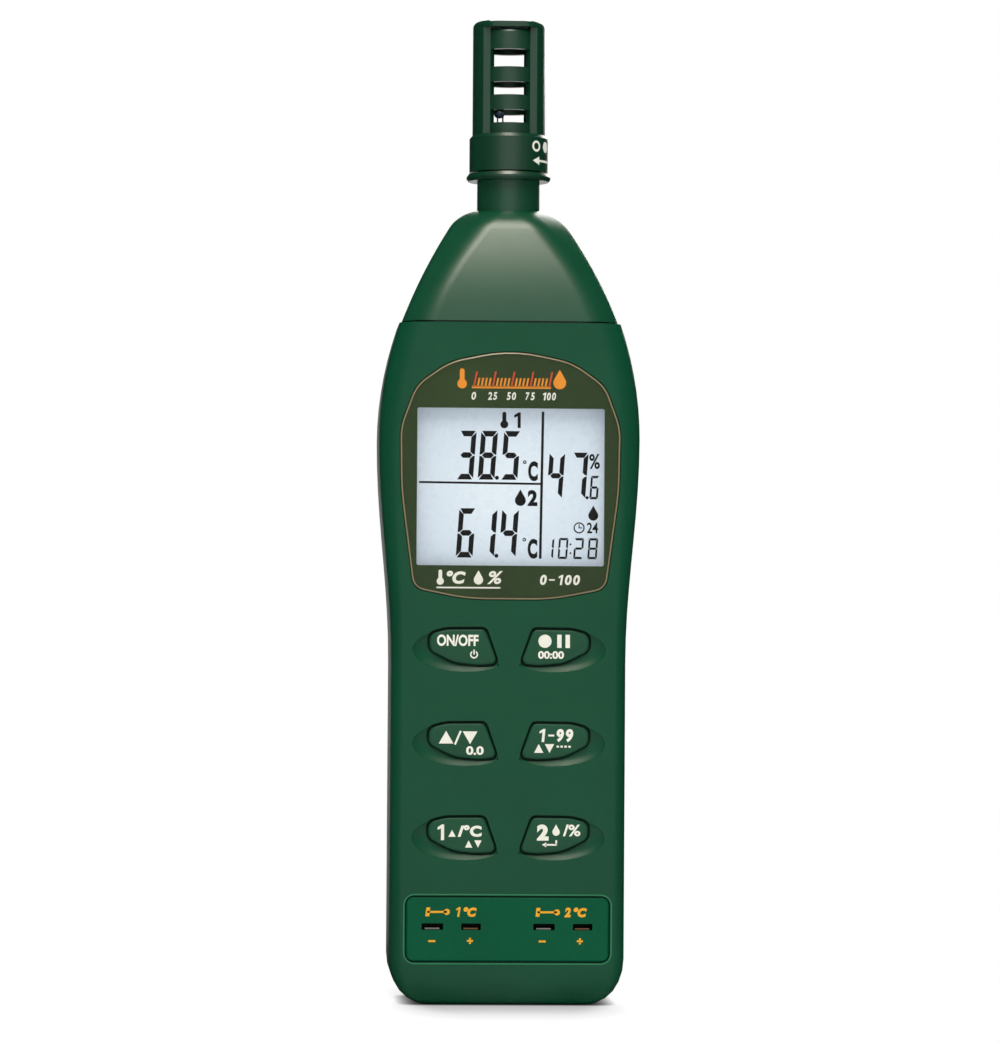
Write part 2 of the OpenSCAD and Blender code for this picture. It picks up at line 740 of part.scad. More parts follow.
module sensor_guard() {
    inner_r = guard_r - guard_wall;
    spigot_r = inner_r - 0.15;
    edge = 0.8;
    color(dark_green) difference() {
        union() {
            rotate_extrude() polygon(concat(
                [[0, neck_z], [flange_r - 0.4, neck_z], [flange_r, neck_z + 0.5], [flange_r, neck_z + 0.9]],
                [[flange_r - 0.5, cap_z - 0.3], [collar_r - 0.1, cap_z - cap_gap], [guard_r, cap_z - cap_gap]],
                [for (a = [0:15:90]) [guard_r - edge + edge * cos(a), guard_top - edge + edge * sin(a)]],
                [[0, guard_top]]
            ));
            translate([0, 0, neck_z - 7]) cylinder(h = 8, r = spigot_r);
        }
        translate([0, 0, neck_z - 8]) cylinder(h = 8 + 2, r = spigot_r - 0.9);
        translate([0, 0, neck_z + 1]) cylinder(h = guard_h - 1 - guard_wall, r = inner_r);
        window(sill_1, window_h);
        window(sill_2, window_h);
        window(sill_3, window_top_h);
        translate([0, 0, ring_z]) rotate_extrude()
            translate([guard_r, 0]) square([4 * ring_section, 2 * ring_section + 0.1], center = true);
    }
}
// A pair of windows, their sides pointing at the tube's axis
module window(sill, h) {
    spread = asin(window_w / 2 / guard_r);
    inside = guard_r / 2;
    outside = 1.5 * guard_r;
    for (face = [0, 180]) rotate(face) translate([0, 0, sill]) linear_extrude(h) polygon([
        for (corner = [[-1, inside], [1, inside], [1, outside], [-1, outside]])
            corner[1] * [corner[0] * sin(spread), cos(spread)]
    ]);
}
ring_z = neck_z + 6;
ring_section = 0.3;

module cap_o_ring() {
    color("black") translate([0, 0, ring_z]) rotate_extrude()
        translate([guard_r + cap_fit - 0.02 - ring_section, 0]) circle(r = ring_section, $fn = 24);
}

module sensor_cap() {
    bore_r = guard_r + cap_fit;
    collar_top = cap_z + collar_h;
    edge = 1.3;
    bevel = 0.7;
    color(dark_green) difference() {
        rotate_extrude() polygon(concat(
            [[0, cap_z], [collar_r, cap_z], [collar_r, collar_top - bevel], [cap_r, collar_top]],
            [for (a = [0:15:90]) [cap_r - edge + edge * cos(a), cap_top - edge + edge * sin(a)]],
            [[0, cap_top]]
        ));
        translate([0, 0, cap_z - cut]) cylinder(h = disc_z - cap_z + cut, r = bore_r);
        // Openings at front and back leave the two pillars and a flat on the disc
        for (side = [-1, 1]) {
            cap_cut(side, bore_r - 1.5, collar_top, disc_z);
            cap_cut(side, bore_r + 0.15, collar_top, cap_top + cut);
        }
        // The channel between the two ears
        slab(-collar_r, collar_r) polygon([
            [-4.1, disc_z + cap_top_t], [4.1, disc_z + cap_top_t],
            [4.9, cap_top + 0.1], [-4.9, cap_top + 0.1]
        ]);
    }
}

module cap_cut(side, y, z0, z1) {
    far = collar_r + cut;
    translate([-cap_opening_w / 2, side > 0 ? y : -far, z0]) cube([cap_opening_w, far - y, z1 - z0]);
}

sensor_board_w = 6.4;
sensor_board_t = 1;
sensor_board_top = sill_1 - 1.4;
sensor_board_bottom = neck_z - 9;
module sensor_board() {
    color([0.05, 0.35, 0.15]) translate([-sensor_board_w / 2, -sensor_board_t / 2, sensor_board_bottom])
        cube([sensor_board_w, sensor_board_t, sensor_board_top - sensor_board_bottom]);
}

module humidity_element() {
    color([0.85, 0.85, 0.80]) slab(-sensor_board_t / 2 - 1.6, -sensor_board_t / 2)
        translate([0, sensor_board_top - 4.4]) plate(5, 7, 0.4);
}

bead = [-2, 0, sill_1 + 2.1];
module thermistor() {
    color("slategray") {
        translate(bead) rotate([0, 90, 0]) rotate_extrude() polygon([
            for (a = [-90:15:90]) [0.72 * cos(a), 1.05 * sin(a)]
        ]);
        for (x = [-0.35, 0.75])
            translate([bead.x + x, 0, sensor_board_top]) cylinder(h = bead.z - sensor_board_top, r = 0.16, $fn = 16);
    }
}

// Flat cable from the sensor board down to the main board, a strip of even thickness
cable_w = 5.6;
cable_t = 0.6;
cable_path = [
    [0, sensor_board_bottom], [0, sensor_board_bottom - 4], [-1.5, sensor_board_bottom - 8],
    [front_y + board_back + 2.2, board_top + 5], [front_y + board_back + 1, board_top - 1]
];
module sensor_cable() {
    n = len(cable_path);
    color("lightgray") translate([-cable_w / 2, 0, 0]) rotate([90, 0, 90]) linear_extrude(cable_w) polygon(concat(
        [for (i = [0:n - 1]) cable_path[i] + [cable_t / 2, 0]],
        [for (i = [n - 1:-1:0]) cable_path[i] - [cable_t / 2, 0]]
    ));
}

module battery_door() {
    face = rear_y - wall;
    color(green) difference() {
        union() {
            slab(face, rear_y) translate([0, (door_z + door_top) / 2]) plate(door_w, door_top - door_z, 0.3);
            for (x = [-tongue_x, tongue_x]) {
                translate([x - tongue_w / 2, face - 1.4, door_z + 0.3]) cube([tongue_w, 1.5, 1.6]);
                translate([x - tongue_w / 2, face - 1.4, door_z - tongue_h]) cube([tongue_w, 1.2, tongue_h + 1]);
            }
        }
        y_rod(0, door_screw_z, face - cut, rear_y + cut, door_screw_r + 0.2);
        y_rod(0, door_screw_z, rear_y - 1.3, rear_y + cut, 2 * door_screw_r + 0.3);
    }
}

module door_screw() {
    color("silver") {
        y_rod(0, door_screw_z, rear_y - 1.3, rear_y - 0.1, 2 * door_screw_r);
        y_rod(0, door_screw_z, rear_y - wall - 4.4, rear_y - 1.2, door_screw_r);
    }
}

pad_margin = 4.2;
module door_pad() {
    color("dimgray") slab(rear_y - wall - pad_t, rear_y - wall)
        translate([0, battery_z + battery_h / 2]) plate(battery_w - 2 * pad_margin, battery_h - 3 * pad_margin, 1);
}

module battery() {
    color("darkslategray") translate([0, (battery_front + battery_back) / 2, battery_z])
        linear_extrude(battery_h) plate(battery_w, battery_t, 1.6);
}

module battery_terminals() {
    y = (battery_front + battery_back) / 2;
    color("silver") translate([0, y, battery_z + battery_h]) {
        translate([-terminal_x, 0, 0]) cylinder(h = terminal_h, r = stud_r);
        translate([terminal_x, 0, 0]) difference() {
            cylinder(h = terminal_h, r = socket_r, $fn = 6);
            translate([0, 0, 0.3 * terminal_h]) cylinder(h = terminal_h, r = 0.72 * socket_r);
        }
    }
}

lead_x = battery_w / 2 - 7.25;
lead_pitch = 2.4;
lead_y = 5;
lead_r = 0.6;
module battery_clip() {
    y = (battery_front + battery_back) / 2;
    color([0.1, 0.1, 0.1]) difference() {
        translate([0, y, clip_z]) linear_extrude(clip_t) plate(battery_w - 1.5, battery_t - 4.9, 3);
        for (x = [-terminal_x, terminal_x]) translate([x, y, clip_z - cut]) cylinder(h = terminal_h + cut, r = 1.1 * socket_r);
    }
}

module battery_leads() {
    top = bay_top + bay_wall + 2;
    y0 = front_y + board_back;
    color("firebrick") for (i = [0, 1]) translate([lead_x + i * lead_pitch, 0, 0]) {
        translate([0, lead_y, clip_z + clip_t]) cylinder(h = top - clip_z - clip_t, r = lead_r, $fn = 16);
        translate([0, lead_y, top]) sphere(r = lead_r, $fn = 16);
        translate([0, y0, top]) rotate([-90, 0, 0]) cylinder(h = lead_y - y0, r = lead_r, $fn = 16);
    }
}

module case_screws() {
    color("silver") case_screw_places() {
        y_rod(0, 0, counterbore_y, counterbore_y + 1.8, screw_head_r);
        y_rod(0, 0, front_y + wall + 1.4, counterbore_y + 0.1, case_screw_r);
    }
}

module board_screws() {
    y = front_y + board_back;
    color("silver") board_screw_places() {
        y_rod(0, 0, y, y + 1.1, 1.9 * board_screw_r);
        y_rod(0, 0, front_y + wall + 1, y + 0.1, board_screw_r);
    }
}

front_case();
rear_case();
nose_cover();
display_lens();
display_gasket();
lcd_panel();
lcd_frame();
backlight();
zebra_strips();
main_board();
board_components();
keypad_mat();
key(0, 0);  // key_power
key(1, 0);  // key_hold
key(0, 1);  // key_max_min
key(1, 1);  // key_memory
key(0, 2);  // key_input_1
key(1, 2);  // key_input_2
input_panel();
input_socket(1);  // input_socket_1
input_socket(2);  // input_socket_2
color("peru") contacts(1);  // positive_contacts
color("silver") contacts(-1);  // negative_contacts
sensor_cap();
sensor_guard();
cap_o_ring();
sensor_board();
humidity_element();
thermistor();
sensor_cable();
battery_door();
door_screw();
door_pad();
battery();
battery_terminals();
battery_clip();
battery_leads();
case_screws();
board_screws();
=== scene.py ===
import math

import bmesh
import bpy
from mathutils import Matrix, Vector
from mathutils.geometry import tessellate_polygon


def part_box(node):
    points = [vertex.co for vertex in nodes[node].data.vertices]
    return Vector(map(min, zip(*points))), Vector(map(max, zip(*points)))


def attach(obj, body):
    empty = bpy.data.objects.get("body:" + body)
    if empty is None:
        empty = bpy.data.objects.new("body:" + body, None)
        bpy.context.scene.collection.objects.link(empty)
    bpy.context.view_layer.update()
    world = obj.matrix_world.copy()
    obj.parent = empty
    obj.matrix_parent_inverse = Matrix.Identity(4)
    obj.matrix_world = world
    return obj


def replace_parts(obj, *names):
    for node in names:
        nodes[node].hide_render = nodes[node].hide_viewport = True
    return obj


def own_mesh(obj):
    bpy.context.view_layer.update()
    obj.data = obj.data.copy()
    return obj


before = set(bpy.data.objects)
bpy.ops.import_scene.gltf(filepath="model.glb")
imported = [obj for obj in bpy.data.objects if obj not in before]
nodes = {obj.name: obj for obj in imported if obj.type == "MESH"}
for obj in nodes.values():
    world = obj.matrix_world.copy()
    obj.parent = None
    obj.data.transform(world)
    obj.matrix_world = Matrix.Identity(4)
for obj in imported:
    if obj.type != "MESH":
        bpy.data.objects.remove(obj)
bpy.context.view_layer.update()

scene = bpy.context.scene
MM = 0.001

# Photograph's frame and the camera that took it, in millimetres, degrees and pixels
IMAGE_W = 1000
CAMERA_PLACE = (-50.5, -1016.5, 72.0)
YAW, PITCH, ROLL = 2.772, 1.534, 0.377
FOCAL_PX = 4899.4
SENSOR_MM = 36

# Printed marks stand this far out of what carries them, and reach this far into it
INK_RISE = 0.015
INK_SINK = 0.01
# Points of a node's mesh nearer than this are one
WELD = 0.002
# Edges that bend less than this are shaded smooth
SMOOTH_ANGLE = 32
PLAIN = (1, 1, 1)


def span(node):
    """Lowest and highest corner of a node, in millimetres."""
    low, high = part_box(node)
    return Vector(low) / MM, Vector(high) / MM


FRONT = span("front_case")[0].y
COLLAR_R = span("sensor_cap")[1].x


# Materials

def new_material(name):
    made = bpy.data.materials.new(name)
    made.use_nodes = True
    tree = made.node_tree
    return made, tree, tree.nodes["Principled BSDF"]


def place_of(tree, stretch=PLAIN):
    """The place on the object, stretched along its axes."""
    place = tree.nodes.new("ShaderNodeTexCoord").outputs["Object"]
    if stretch == PLAIN:
        return place
    mapping = tree.nodes.new("ShaderNodeMapping")
    mapping.inputs["Scale"].default_value = stretch
    tree.links.new(place, mapping.inputs["Vector"])
    return mapping.outputs["Vector"]


def noise(tree, scale, detail=3, stretch=PLAIN):
    texture = tree.nodes.new("ShaderNodeTexNoise")
    texture.inputs["Scale"].default_value = scale
    texture.inputs["Detail"].default_value = detail
    tree.links.new(place_of(tree, stretch), texture.inputs["Vector"])
    return texture.outputs["Fac"]


def cells(tree, scale, feature="F1"):
    texture = tree.nodes.new("ShaderNodeTexVoronoi")
    texture.feature = feature
    texture.inputs["Scale"].default_value = scale
    tree.links.new(place_of(tree), texture.inputs["Vector"])
    return texture.outputs["Distance"]


def ramp(tree, value, stops):
    """Colours at stops of a value."""
    node = tree.nodes.new("ShaderNodeValToRGB")
    marks = node.color_ramp.elements
    marks[0].position, marks[0].color = stops[0][0], (*stops[0][1], 1)
    marks[1].position, marks[1].color = stops[-1][0], (*stops[-1][1], 1)
    for at, colour in stops[1:-1]:
        marks.new(at).color = (*colour, 1)
    tree.links.new(value, node.inputs["Fac"])
    return node.outputs["Color"]


def spread(tree, value, low, high, start=0, end=1):
    """A value between start and end, spread from low to high."""
    node = tree.nodes.new("ShaderNodeMapRange")
    node.inputs["From Min"].default_value = start
    node.inputs["From Max"].default_value = end
    node.inputs["To Min"].default_value = low
    node.inputs["To Max"].default_value = high
    tree.links.new(value, node.inputs["Value"])
    return node.outputs["Result"]


def math_node(tree, kind, a, b=None):
    node = tree.nodes.new("ShaderNodeMath")
    node.operation = kind
    for value, socket in zip((a, b), node.inputs):
        if isinstance(value, (int, float)):
            socket.default_value = value
        elif value is not None:
            tree.links.new(value, socket)
    return node.outputs[0]


def axes_of(tree, vector):
    parts = tree.nodes.new("ShaderNodeSeparateXYZ")
    tree.links.new(vector, parts.inputs["Vector"])
    return parts.outputs


def mix_surface(tree, share, first, second):
    """Shows two shaders in one surface, the second one by its share."""
    mixed = tree.nodes.new("ShaderNodeMixShader")
    tree.links.new(share, mixed.inputs["Fac"])
    tree.links.new(first, mixed.inputs[1])
    tree.links.new(second, mixed.inputs[2])
    tree.links.new(mixed.outputs["Shader"], tree.nodes["Material Output"].inputs["Surface"])


def dress(tree, shader, colour, gloss, relief, depth, stretch=PLAIN):
    """Colour, a gloss (scale, lowest and highest roughness) and a relief of a depth in millimetres."""
    scale, low, high = gloss
    tree.links.new(colour, shader.inputs["Base Color"])
    tree.links.new(spread(tree, noise(tree, scale, 3, stretch), low, high), shader.inputs["Roughness"])
    bump = tree.nodes.new("ShaderNodeBump")
    bump.inputs["Strength"].default_value = 1
    bump.inputs["Distance"].default_value = depth * MM
    tree.links.new(relief, bump.inputs["Height"])
    tree.links.new(bump.outputs["Normal"], shader.inputs["Normal"])


def linear(code):
    """An sRGB colour code as linear values."""
    parts = [int(code[i:i + 2], 16) / 255 for i in (0, 2, 4)]
    return tuple(c / 12.92 if c <= 0.04045 else ((c + 0.055) / 1.055) ** 2.4 for c in parts)


def shade(colour, factor):
    return tuple(min(1, c * factor) for c in colour)


def solid(name, code, rough, grain=2600, depth=0.03, mottling=0.06, specular=0.5, gloss=0.06,
          stretch=PLAIN, metallic=0, patches=60):
    """A material with faint mottling, uneven gloss and a fine relief."""
    made, tree, shader = new_material(name)
    base = linear(code)
    stops = [(0.3, shade(base, 1 - mottling)), (0.7, shade(base, 1 + mottling))]
    colour = ramp(tree, noise(tree, patches, 3, stretch), stops)
    shine = (6 * patches, rough - gloss, rough + gloss)
    dress(tree, shader, colour, shine, noise(tree, grain, 2, stretch), depth, stretch)
    shader.inputs["Specular IOR Level"].default_value = specular
    shader.inputs["Metallic"].default_value = metallic
    return made


def metal(name, code, rough, stretch=PLAIN):
    return solid(name, code, rough, grain=3000, depth=0.004, mottling=0.08, gloss=0.08, stretch=stretch,
                 metallic=1, patches=400)


def print_ink(name, code, rough=0.5, depth=0.004, mottling=0.05, specular=0.4):
    return solid(name, code, rough, 9000, depth, mottling, specular, patches=900)


def foam_like(name, code):
    """Open-celled foam, with painted shade that darkens its pores."""
    made, tree, shader = new_material(name)
    base = linear(code)
    pore_relief_and_shade = cells(tree, 3500)
    stops = [(0, shade(base, 0.4)), (0.6, shade(base, 1.3))]
    dress(tree, shader, ramp(tree, pore_relief_and_shade, stops), (900, 0.8, 1), pore_relief_and_shade, 0.15)
    return made


def striped(name, code_a, code_b, per_metre, rough):
    """Bands of two colours across X, with edges that are a little soft."""
    made, tree, shader = new_material(name)
    wave = tree.nodes.new("ShaderNodeTexWave")
    wave.bands_direction = "X"
    wave.inputs["Scale"].default_value = per_metre
    tree.links.new(place_of(tree), wave.inputs["Vector"])
    stops = [(0.46, linear(code_a)), (0.54, linear(code_b))]
    colour = ramp(tree, wave.outputs["Fac"], stops)
    dress(tree, shader, colour, (500, rough - 0.08, rough + 0.08), noise(tree, 2600), 0.01)
    return made


def solder_mask(name):
    """Green lacquer over the copper tracks of a board."""
    made, tree, shader = new_material(name)
    tracks = cells(tree, 700, "DISTANCE_TO_EDGE")
    stops = [(0.02, linear("2c7a44")), (0.05, linear("0b4a24")), (0.4, linear("0d5129"))]
    dress(tree, shader, ramp(tree, tracks, stops), (400, 0.25, 0.4), tracks, 0.02)
    return made


def by_height(name, stops, low, high, rough):
    """Colours that change at heights of the part, in millimetres."""
    made, tree, shader = new_material(name)
    height = axes_of(tree, place_of(tree))["Z"]
    level = spread(tree, height, 0, 1, low * MM, high * MM)
    colour = ramp(tree, level, stops)
    dress(tree, shader, colour, (300, rough - 0.06, rough + 0.06), noise(tree, 1200), 0.01)
    return made


def insulation(name, split_x):
    """Two wires in one piece: red on one side of a plane and black on the other."""
    made, tree, shader = new_material(name)
    across = axes_of(tree, place_of(tree))["X"]
    side = spread(tree, across, 0, 1, (split_x - 0.01) * MM, (split_x + 0.01) * MM)
    stops = [(0.4, linear("a01412")), (0.6, linear("15151a"))]
    dress(tree, shader, ramp(tree, side, stops), (800, 0.35, 0.5), noise(tree, 2000), 0.01)
    return made


# Half width and half height of the display's brighter middle, beyond which painted shade darkens it, in
# millimetres
EDGE_SHADE_HALF = (26, 24)


def display_face(name):
    """Liquid crystal glass over its backlight, with painted shade that darkens it towards its edges, and a
    glow that stands for the lit backlight and also brightens it as painted light.
    """
    made, tree, shader = new_material(name)
    middle = (span("lcd_panel")[0] + span("lcd_panel")[1]) / 2
    mapping = tree.nodes.new("ShaderNodeMapping")
    mapping.inputs["Location"].default_value = (0, 0, -middle.z / EDGE_SHADE_HALF[1])
    mapping.inputs["Scale"].default_value = (1 / (EDGE_SHADE_HALF[0] * MM), 0, 1 / (EDGE_SHADE_HALF[1] * MM))
    tree.links.new(place_of(tree), mapping.inputs["Vector"])
    edge_shade = tree.nodes.new("ShaderNodeTexGradient")
    edge_shade.gradient_type = "SPHERICAL"
    tree.links.new(mapping.outputs["Vector"], edge_shade.inputs["Vector"])
    stops = [(0, linear("a9b7c6")), (0.3, linear("bccad8")), (0.8, linear("c6d3de"))]
    colour = ramp(tree, edge_shade.outputs["Fac"], stops)
    dress(tree, shader, colour, (700, 0.22, 0.34), noise(tree, 4000), 0.002)
    tree.links.new(colour, shader.inputs["Emission Color"])
    # The glow stands for the lit backlight, and part of it is painted light that brightens the glass
    shader.inputs["Emission Strength"].default_value = 0.36
    return made


def clear_pane(name):
    """A clear window that mirrors more the flatter it is looked at."""
    made, tree, shader = new_material(name)
    tree.nodes.remove(shader)
    through = tree.nodes.new("ShaderNodeBsdfTransparent")
    mirror = tree.nodes.new("ShaderNodeBsdfGlossy")
    mirror.inputs["Roughness"].default_value = 0.08
    facing = tree.nodes.new("ShaderNodeLayerWeight")
    facing.inputs["Blend"].default_value = 0.5
    share = spread(tree, math_node(tree, "POWER", facing.outputs["Facing"], 5), 0.015, 0.9)
    mix_surface(tree, share, through.outputs["BSDF"], mirror.outputs["BSDF"])
    return made


case_green = solid("case_green", "014a31", 0.38, depth=0.008, specular=0.34)
nose_green = solid("nose_green", "024a30", 0.345, depth=0.005, specular=0.8, gloss=0.03)
panel_green = solid("panel_green", "025439", 0.42, depth=0.006, specular=0.12)
head_green = solid("head_green", "013a25", 0.32, depth=0.004, specular=0.9, gloss=0.03)
key_green = solid("key_green", "174e37", 0.45, depth=0.008, specular=0.3)
olive = solid("lens_olive", "283d18", 0.35, depth=0.002, mottling=0.14, specular=0.2,
              stretch=(1, 1, 0.25))
# The lens's rim is painted pale tan as its highlight
tan = solid("lens_rim_painted_highlight", "8e8264", 0.3, depth=0.002)
pane_clear = clear_pane("pane_clear")
ink_white = print_ink("ink_white", "e9ece4", 0.55, mottling=0.03)
ink_orange = print_ink("ink_orange", "e8921c")
ink_gold = print_ink("ink_gold", "eaa91f")
# A light green for the painted highlight on the edge of the panel's groove
painted_edge_highlight = solid("painted_edge_highlight", "2f7a58", 0.42, depth=0.006, specular=0.2)
ink_red = print_ink("ink_red", "c9431a")
ink_black = print_ink("ink_black", "07080b", depth=0.002, mottling=0.1, specular=0.08)
black_rubber = solid("black_rubber", "0c0c0c", 0.75, 1800, 0.02, 0.15, 0.3)
silicone = solid("silicone", "8f958c", 0.6, 1500, 0.01, 0.05, 0.35)
white_plastic = solid("white_plastic", "e2e4de", 0.35, depth=0.006, mottling=0.02)
black_plastic = solid("black_plastic", "141413", 0.5, depth=0.02, mottling=0.12)
chips = solid("chips", "17181a", 0.55, 3500, 0.015, 0.2)
steel = metal("screw_steel", "b9bbbd", 0.28)
nickel = metal("nickel", "c9c6bd", 0.22)
light_alloy = metal("light_alloy", "bcbab2", 0.3, (1, 8, 1))
warm_alloy = metal("warm_alloy", "a9805c", 0.32, (1, 8, 1))
ceramic = solid("ceramic", "d9d7cc", 0.6, 2400, 0.01, 0.03)
bead = solid("bead_blue", "3c5570", 0.3, 3000, 0.01, 0.2, patches=700)
board = solder_mask("board_mask")
foam = foam_like("foam", "202124")
zebra = striped("zebra", "b56a7c", "2a2024", 700, 0.55)
ribbon = striped("ribbon", "8f9398", "6f7378", 330, 0.45)
NAVY, GOLD, RED = linear("1b2430"), linear("c79a3a"), linear("98231c")
battery_low, battery_high = span("battery")
bands = [(0, NAVY), (0.7, NAVY), (0.701, GOLD), (0.74, GOLD), (0.741, RED), (1, RED)]
jacket = by_height("battery_jacket", bands, battery_low.z, battery_high.z, 0.3)
lead_low, lead_high = span("battery_leads")
leads = insulation("lead_insulation", (lead_low.x + lead_high.x) / 2)
lcd = display_face("display_face")

KEYS = sorted(n for n in nodes if n.startswith("key_"))
USES = (
    (case_green, "front_case rear_case battery_door"), (nose_green, "nose_cover"),
    (panel_green, "input_panel"), (head_green, "sensor_cap sensor_guard"), (key_green, " ".join(KEYS)),
    (silicone, "keypad_mat"), (lcd, "lcd_panel"), (white_plastic, "lcd_frame backlight"),
    (zebra, "zebra_strips"), (foam, "display_gasket door_pad"), (board, "main_board sensor_board"),
    (chips, "board_components"), (black_plastic, "input_socket_1 input_socket_2 battery_clip"),
    (warm_alloy, "positive_contacts"), (light_alloy, "negative_contacts"), (black_rubber, "cap_o_ring"),
    (ceramic, "humidity_element"), (bead, "thermistor"), (ribbon, "sensor_cable"),
    (steel, "door_screw case_screws board_screws"), (jacket, "battery"), (nickel, "battery_terminals"),
    (leads, "battery_leads"),
)
for made, names in USES:
    for name in names.split():
        mesh = nodes[name].data
        mesh.materials.clear()
        mesh.materials.append(made)


# Smooth shading, broken at real edges

def smoothing():
    """Welds the corners that carried-over faces share, and shades all but the sharp edges smooth."""
    tree = bpy.data.node_groups.new("smooth_by_angle", "GeometryNodeTree")
    tree.interface.new_socket("Geometry", in_out="INPUT", socket_type="NodeSocketGeometry")
    tree.interface.new_socket("Geometry", in_out="OUTPUT", socket_type="NodeSocketGeometry")
    start = tree.nodes.new("NodeGroupInput")
    end = tree.nodes.new("NodeGroupOutput")
    plain = tree.nodes.new("GeometryNodeRemoveAttribute")
    plain.inputs["Name"].default_value = "custom_normal"
    merge = tree.nodes.new("GeometryNodeMergeByDistance")
    merge.inputs["Distance"].default_value = WELD * MM
    faces = tree.nodes.new("GeometryNodeSetShadeSmooth")
    faces.domain = "FACE"
    edges = tree.nodes.new("GeometryNodeSetShadeSmooth")
    edges.domain = "EDGE"
    angle = tree.nodes.new("GeometryNodeInputMeshEdgeAngle")
    limit = tree.nodes.new("FunctionNodeCompare")
    limit.operation = "LESS_THAN"
    limit.inputs["B"].default_value = math.radians(SMOOTH_ANGLE)
    for source, taker in ((start, plain), (plain, merge), (merge, faces), (faces, edges), (edges, end)):
        tree.links.new(source.outputs[0], taker.inputs[0])
    tree.links.new(angle.outputs["Unsigned Angle"], limit.inputs["A"])
    tree.links.new(limit.outputs["Result"], edges.inputs["Shade Smooth"])
    return tree


smooth = smoothing()


def smooth_shaded(piece):
    piece.modifiers.new("smooth", "NODES").node_group = smooth


for node in nodes.values():
    smooth_shaded(node)


# Thin pieces and solids made here

def finished(name, mesh_edit, body, made, moulded=False):
    """Turns an edit mesh in millimetres into a piece that rides on a body. Moulded ones are shaded smooth."""
    bmesh.ops.scale(mesh_edit, vec=(MM, MM, MM), verts=mesh_edit.verts)
    mesh = bpy.data.meshes.new(name)
    mesh_edit.to_mesh(mesh)
    mesh_edit.free()
    for face in mesh.polygons:
        face.use_smooth = moulded
    for material in made if isinstance(made, list) else [made]:
        mesh.materials.append(material)
    piece = bpy.data.objects.new(name, mesh)
    scene.collection.objects.link(piece)
    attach(piece, body)
    if moulded:
        smooth_shaded(piece)
    return piece


def add_solid(target, loops, closed=False):
    """Skins rings of equally many points, and caps the end rings unless the rings close on each other."""
    rings = [[target.verts.new(p) for p in loop] for loop in loops]
    count = len(rings[0])
    for a, b in list(zip(rings, rings[1:])) + ([(rings[-1], rings[0])] if closed else []):
        for i in range(count):
            j = (i + 1) % count
            target.faces.new((a[i], a[j], b[j], b[i]))
    if not closed:
        target.faces.new(rings[0][::-1])
        target.faces.new(rings[-1])


def at_depth(outline, y):
    """An outline in X and Z, at a depth."""
    return [(x, y, z) for x, z in outline]


def at_height(outline, z):
    """An outline in X and Y, at a height."""
    return [(x, y, z) for x, y in outline]


def prism(target, outline, y):
    """A flat mark on the plane y, from an outline that runs counter-clockwise seen from the front."""
    add_solid(target, [at_depth(outline, y + INK_SINK), at_depth(outline, y - INK_RISE)])


def hoop(target, outer, inner, y):
    """A flat mark between two outlines of equally many points."""
    back, front = y + INK_SINK, y - INK_RISE
    edges = ((outer, back), (outer, front), (inner, front), (inner, back))
    add_solid(target, [at_depth(outline, depth) for outline, depth in edges], closed=True)


def circle(x, z, r, n, start=0, end=360):
    """Points of a circle, or of an arc with both its ends."""
    steps = n if end - start == 360 else n + 1
    turns = [math.radians(start + (end - start) * i / n) for i in range(steps)]
    return [(x + r * math.cos(a), z + r * math.sin(a)) for a in turns]


def arc_band(target, x, z, r, thick, start, end, y):
    """Part of a ring."""
    outer, inner = (circle(x, z, r + side * thick / 2, 16, start, end) for side in (1, -1))
    prism(target, outer + inner[::-1], y)


def bar(target, x0, z0, x1, z1, y, lean=0):
    """An upright box mark whose top leans to the right."""
    prism(target, [(x0, z0), (x1, z0), (x1 + lean, z1), (x0 + lean, z1)], y)


def stroke(target, a, b, thick, y):
    """A straight line mark."""
    a, b = Vector(a), Vector(b)
    along = (b - a).normalized() * thick / 2
    side = Vector((-along.y, along.x))
    prism(target, [tuple(a - side), tuple(b - side), tuple(b + side), tuple(a + side)], y)


def letters(target, text, box, y, bold, lean=0):
    """Text in the built-in typeface, fitted into a box (x0, z0, x1, z1)."""
    data = bpy.data.curves.new("letters", "FONT")
    data.body = text
    data.extrude = 0.5
    data.offset = bold
    data.shear = lean
    data.resolution_u = 4
    holder = bpy.data.objects.new("letters", data)
    scene.collection.objects.link(holder)
    shown = holder.evaluated_get(bpy.context.evaluated_depsgraph_get())
    mesh = shown.to_mesh()
    us = [v.co.x for v in mesh.vertices]
    vs = [v.co.y for v in mesh.vertices]
    x0, z0, x1, z1 = box
    tall = (z1 - z0) / (max(vs) - min(vs))
    wide = (x1 - x0) / (max(us) - min(us))
    made = [target.verts.new((
        x0 + (v.co.x - min(us)) * wide,
        y - INK_RISE if v.co.z > 0 else y + INK_SINK,
        z0 + (v.co.y - min(vs)) * tall,
    )) for v in mesh.vertices]
    for face in mesh.polygons:
        corners = [made[i] for i in face.vertices]
        if target.faces.get(corners) is None:
            target.faces.new(corners)
    shown.to_mesh_clear()
    bpy.data.objects.remove(holder)
    bpy.data.curves.remove(data)


def one(target, box, y, lean=0):
    """The figure one with its flag."""
    x0, z0, x1, z1 = box
    thick = 0.2 * (z1 - z0)
    x = (x0 + x1 - thick) / 2 + 0.4 * thick
    tip = x - 1.1 * thick
    outline = [(x, z0), (x + thick, z0), (x + thick, z1), (x + 0.25 * thick, z1), (tip, z1 - 0.9 * thick),
               (tip, z1 - 1.75 * thick), (x, z1 - 1.25 * thick)]
    prism(target, [(px + lean * (pz - z0), pz) for px, pz in outline], y)


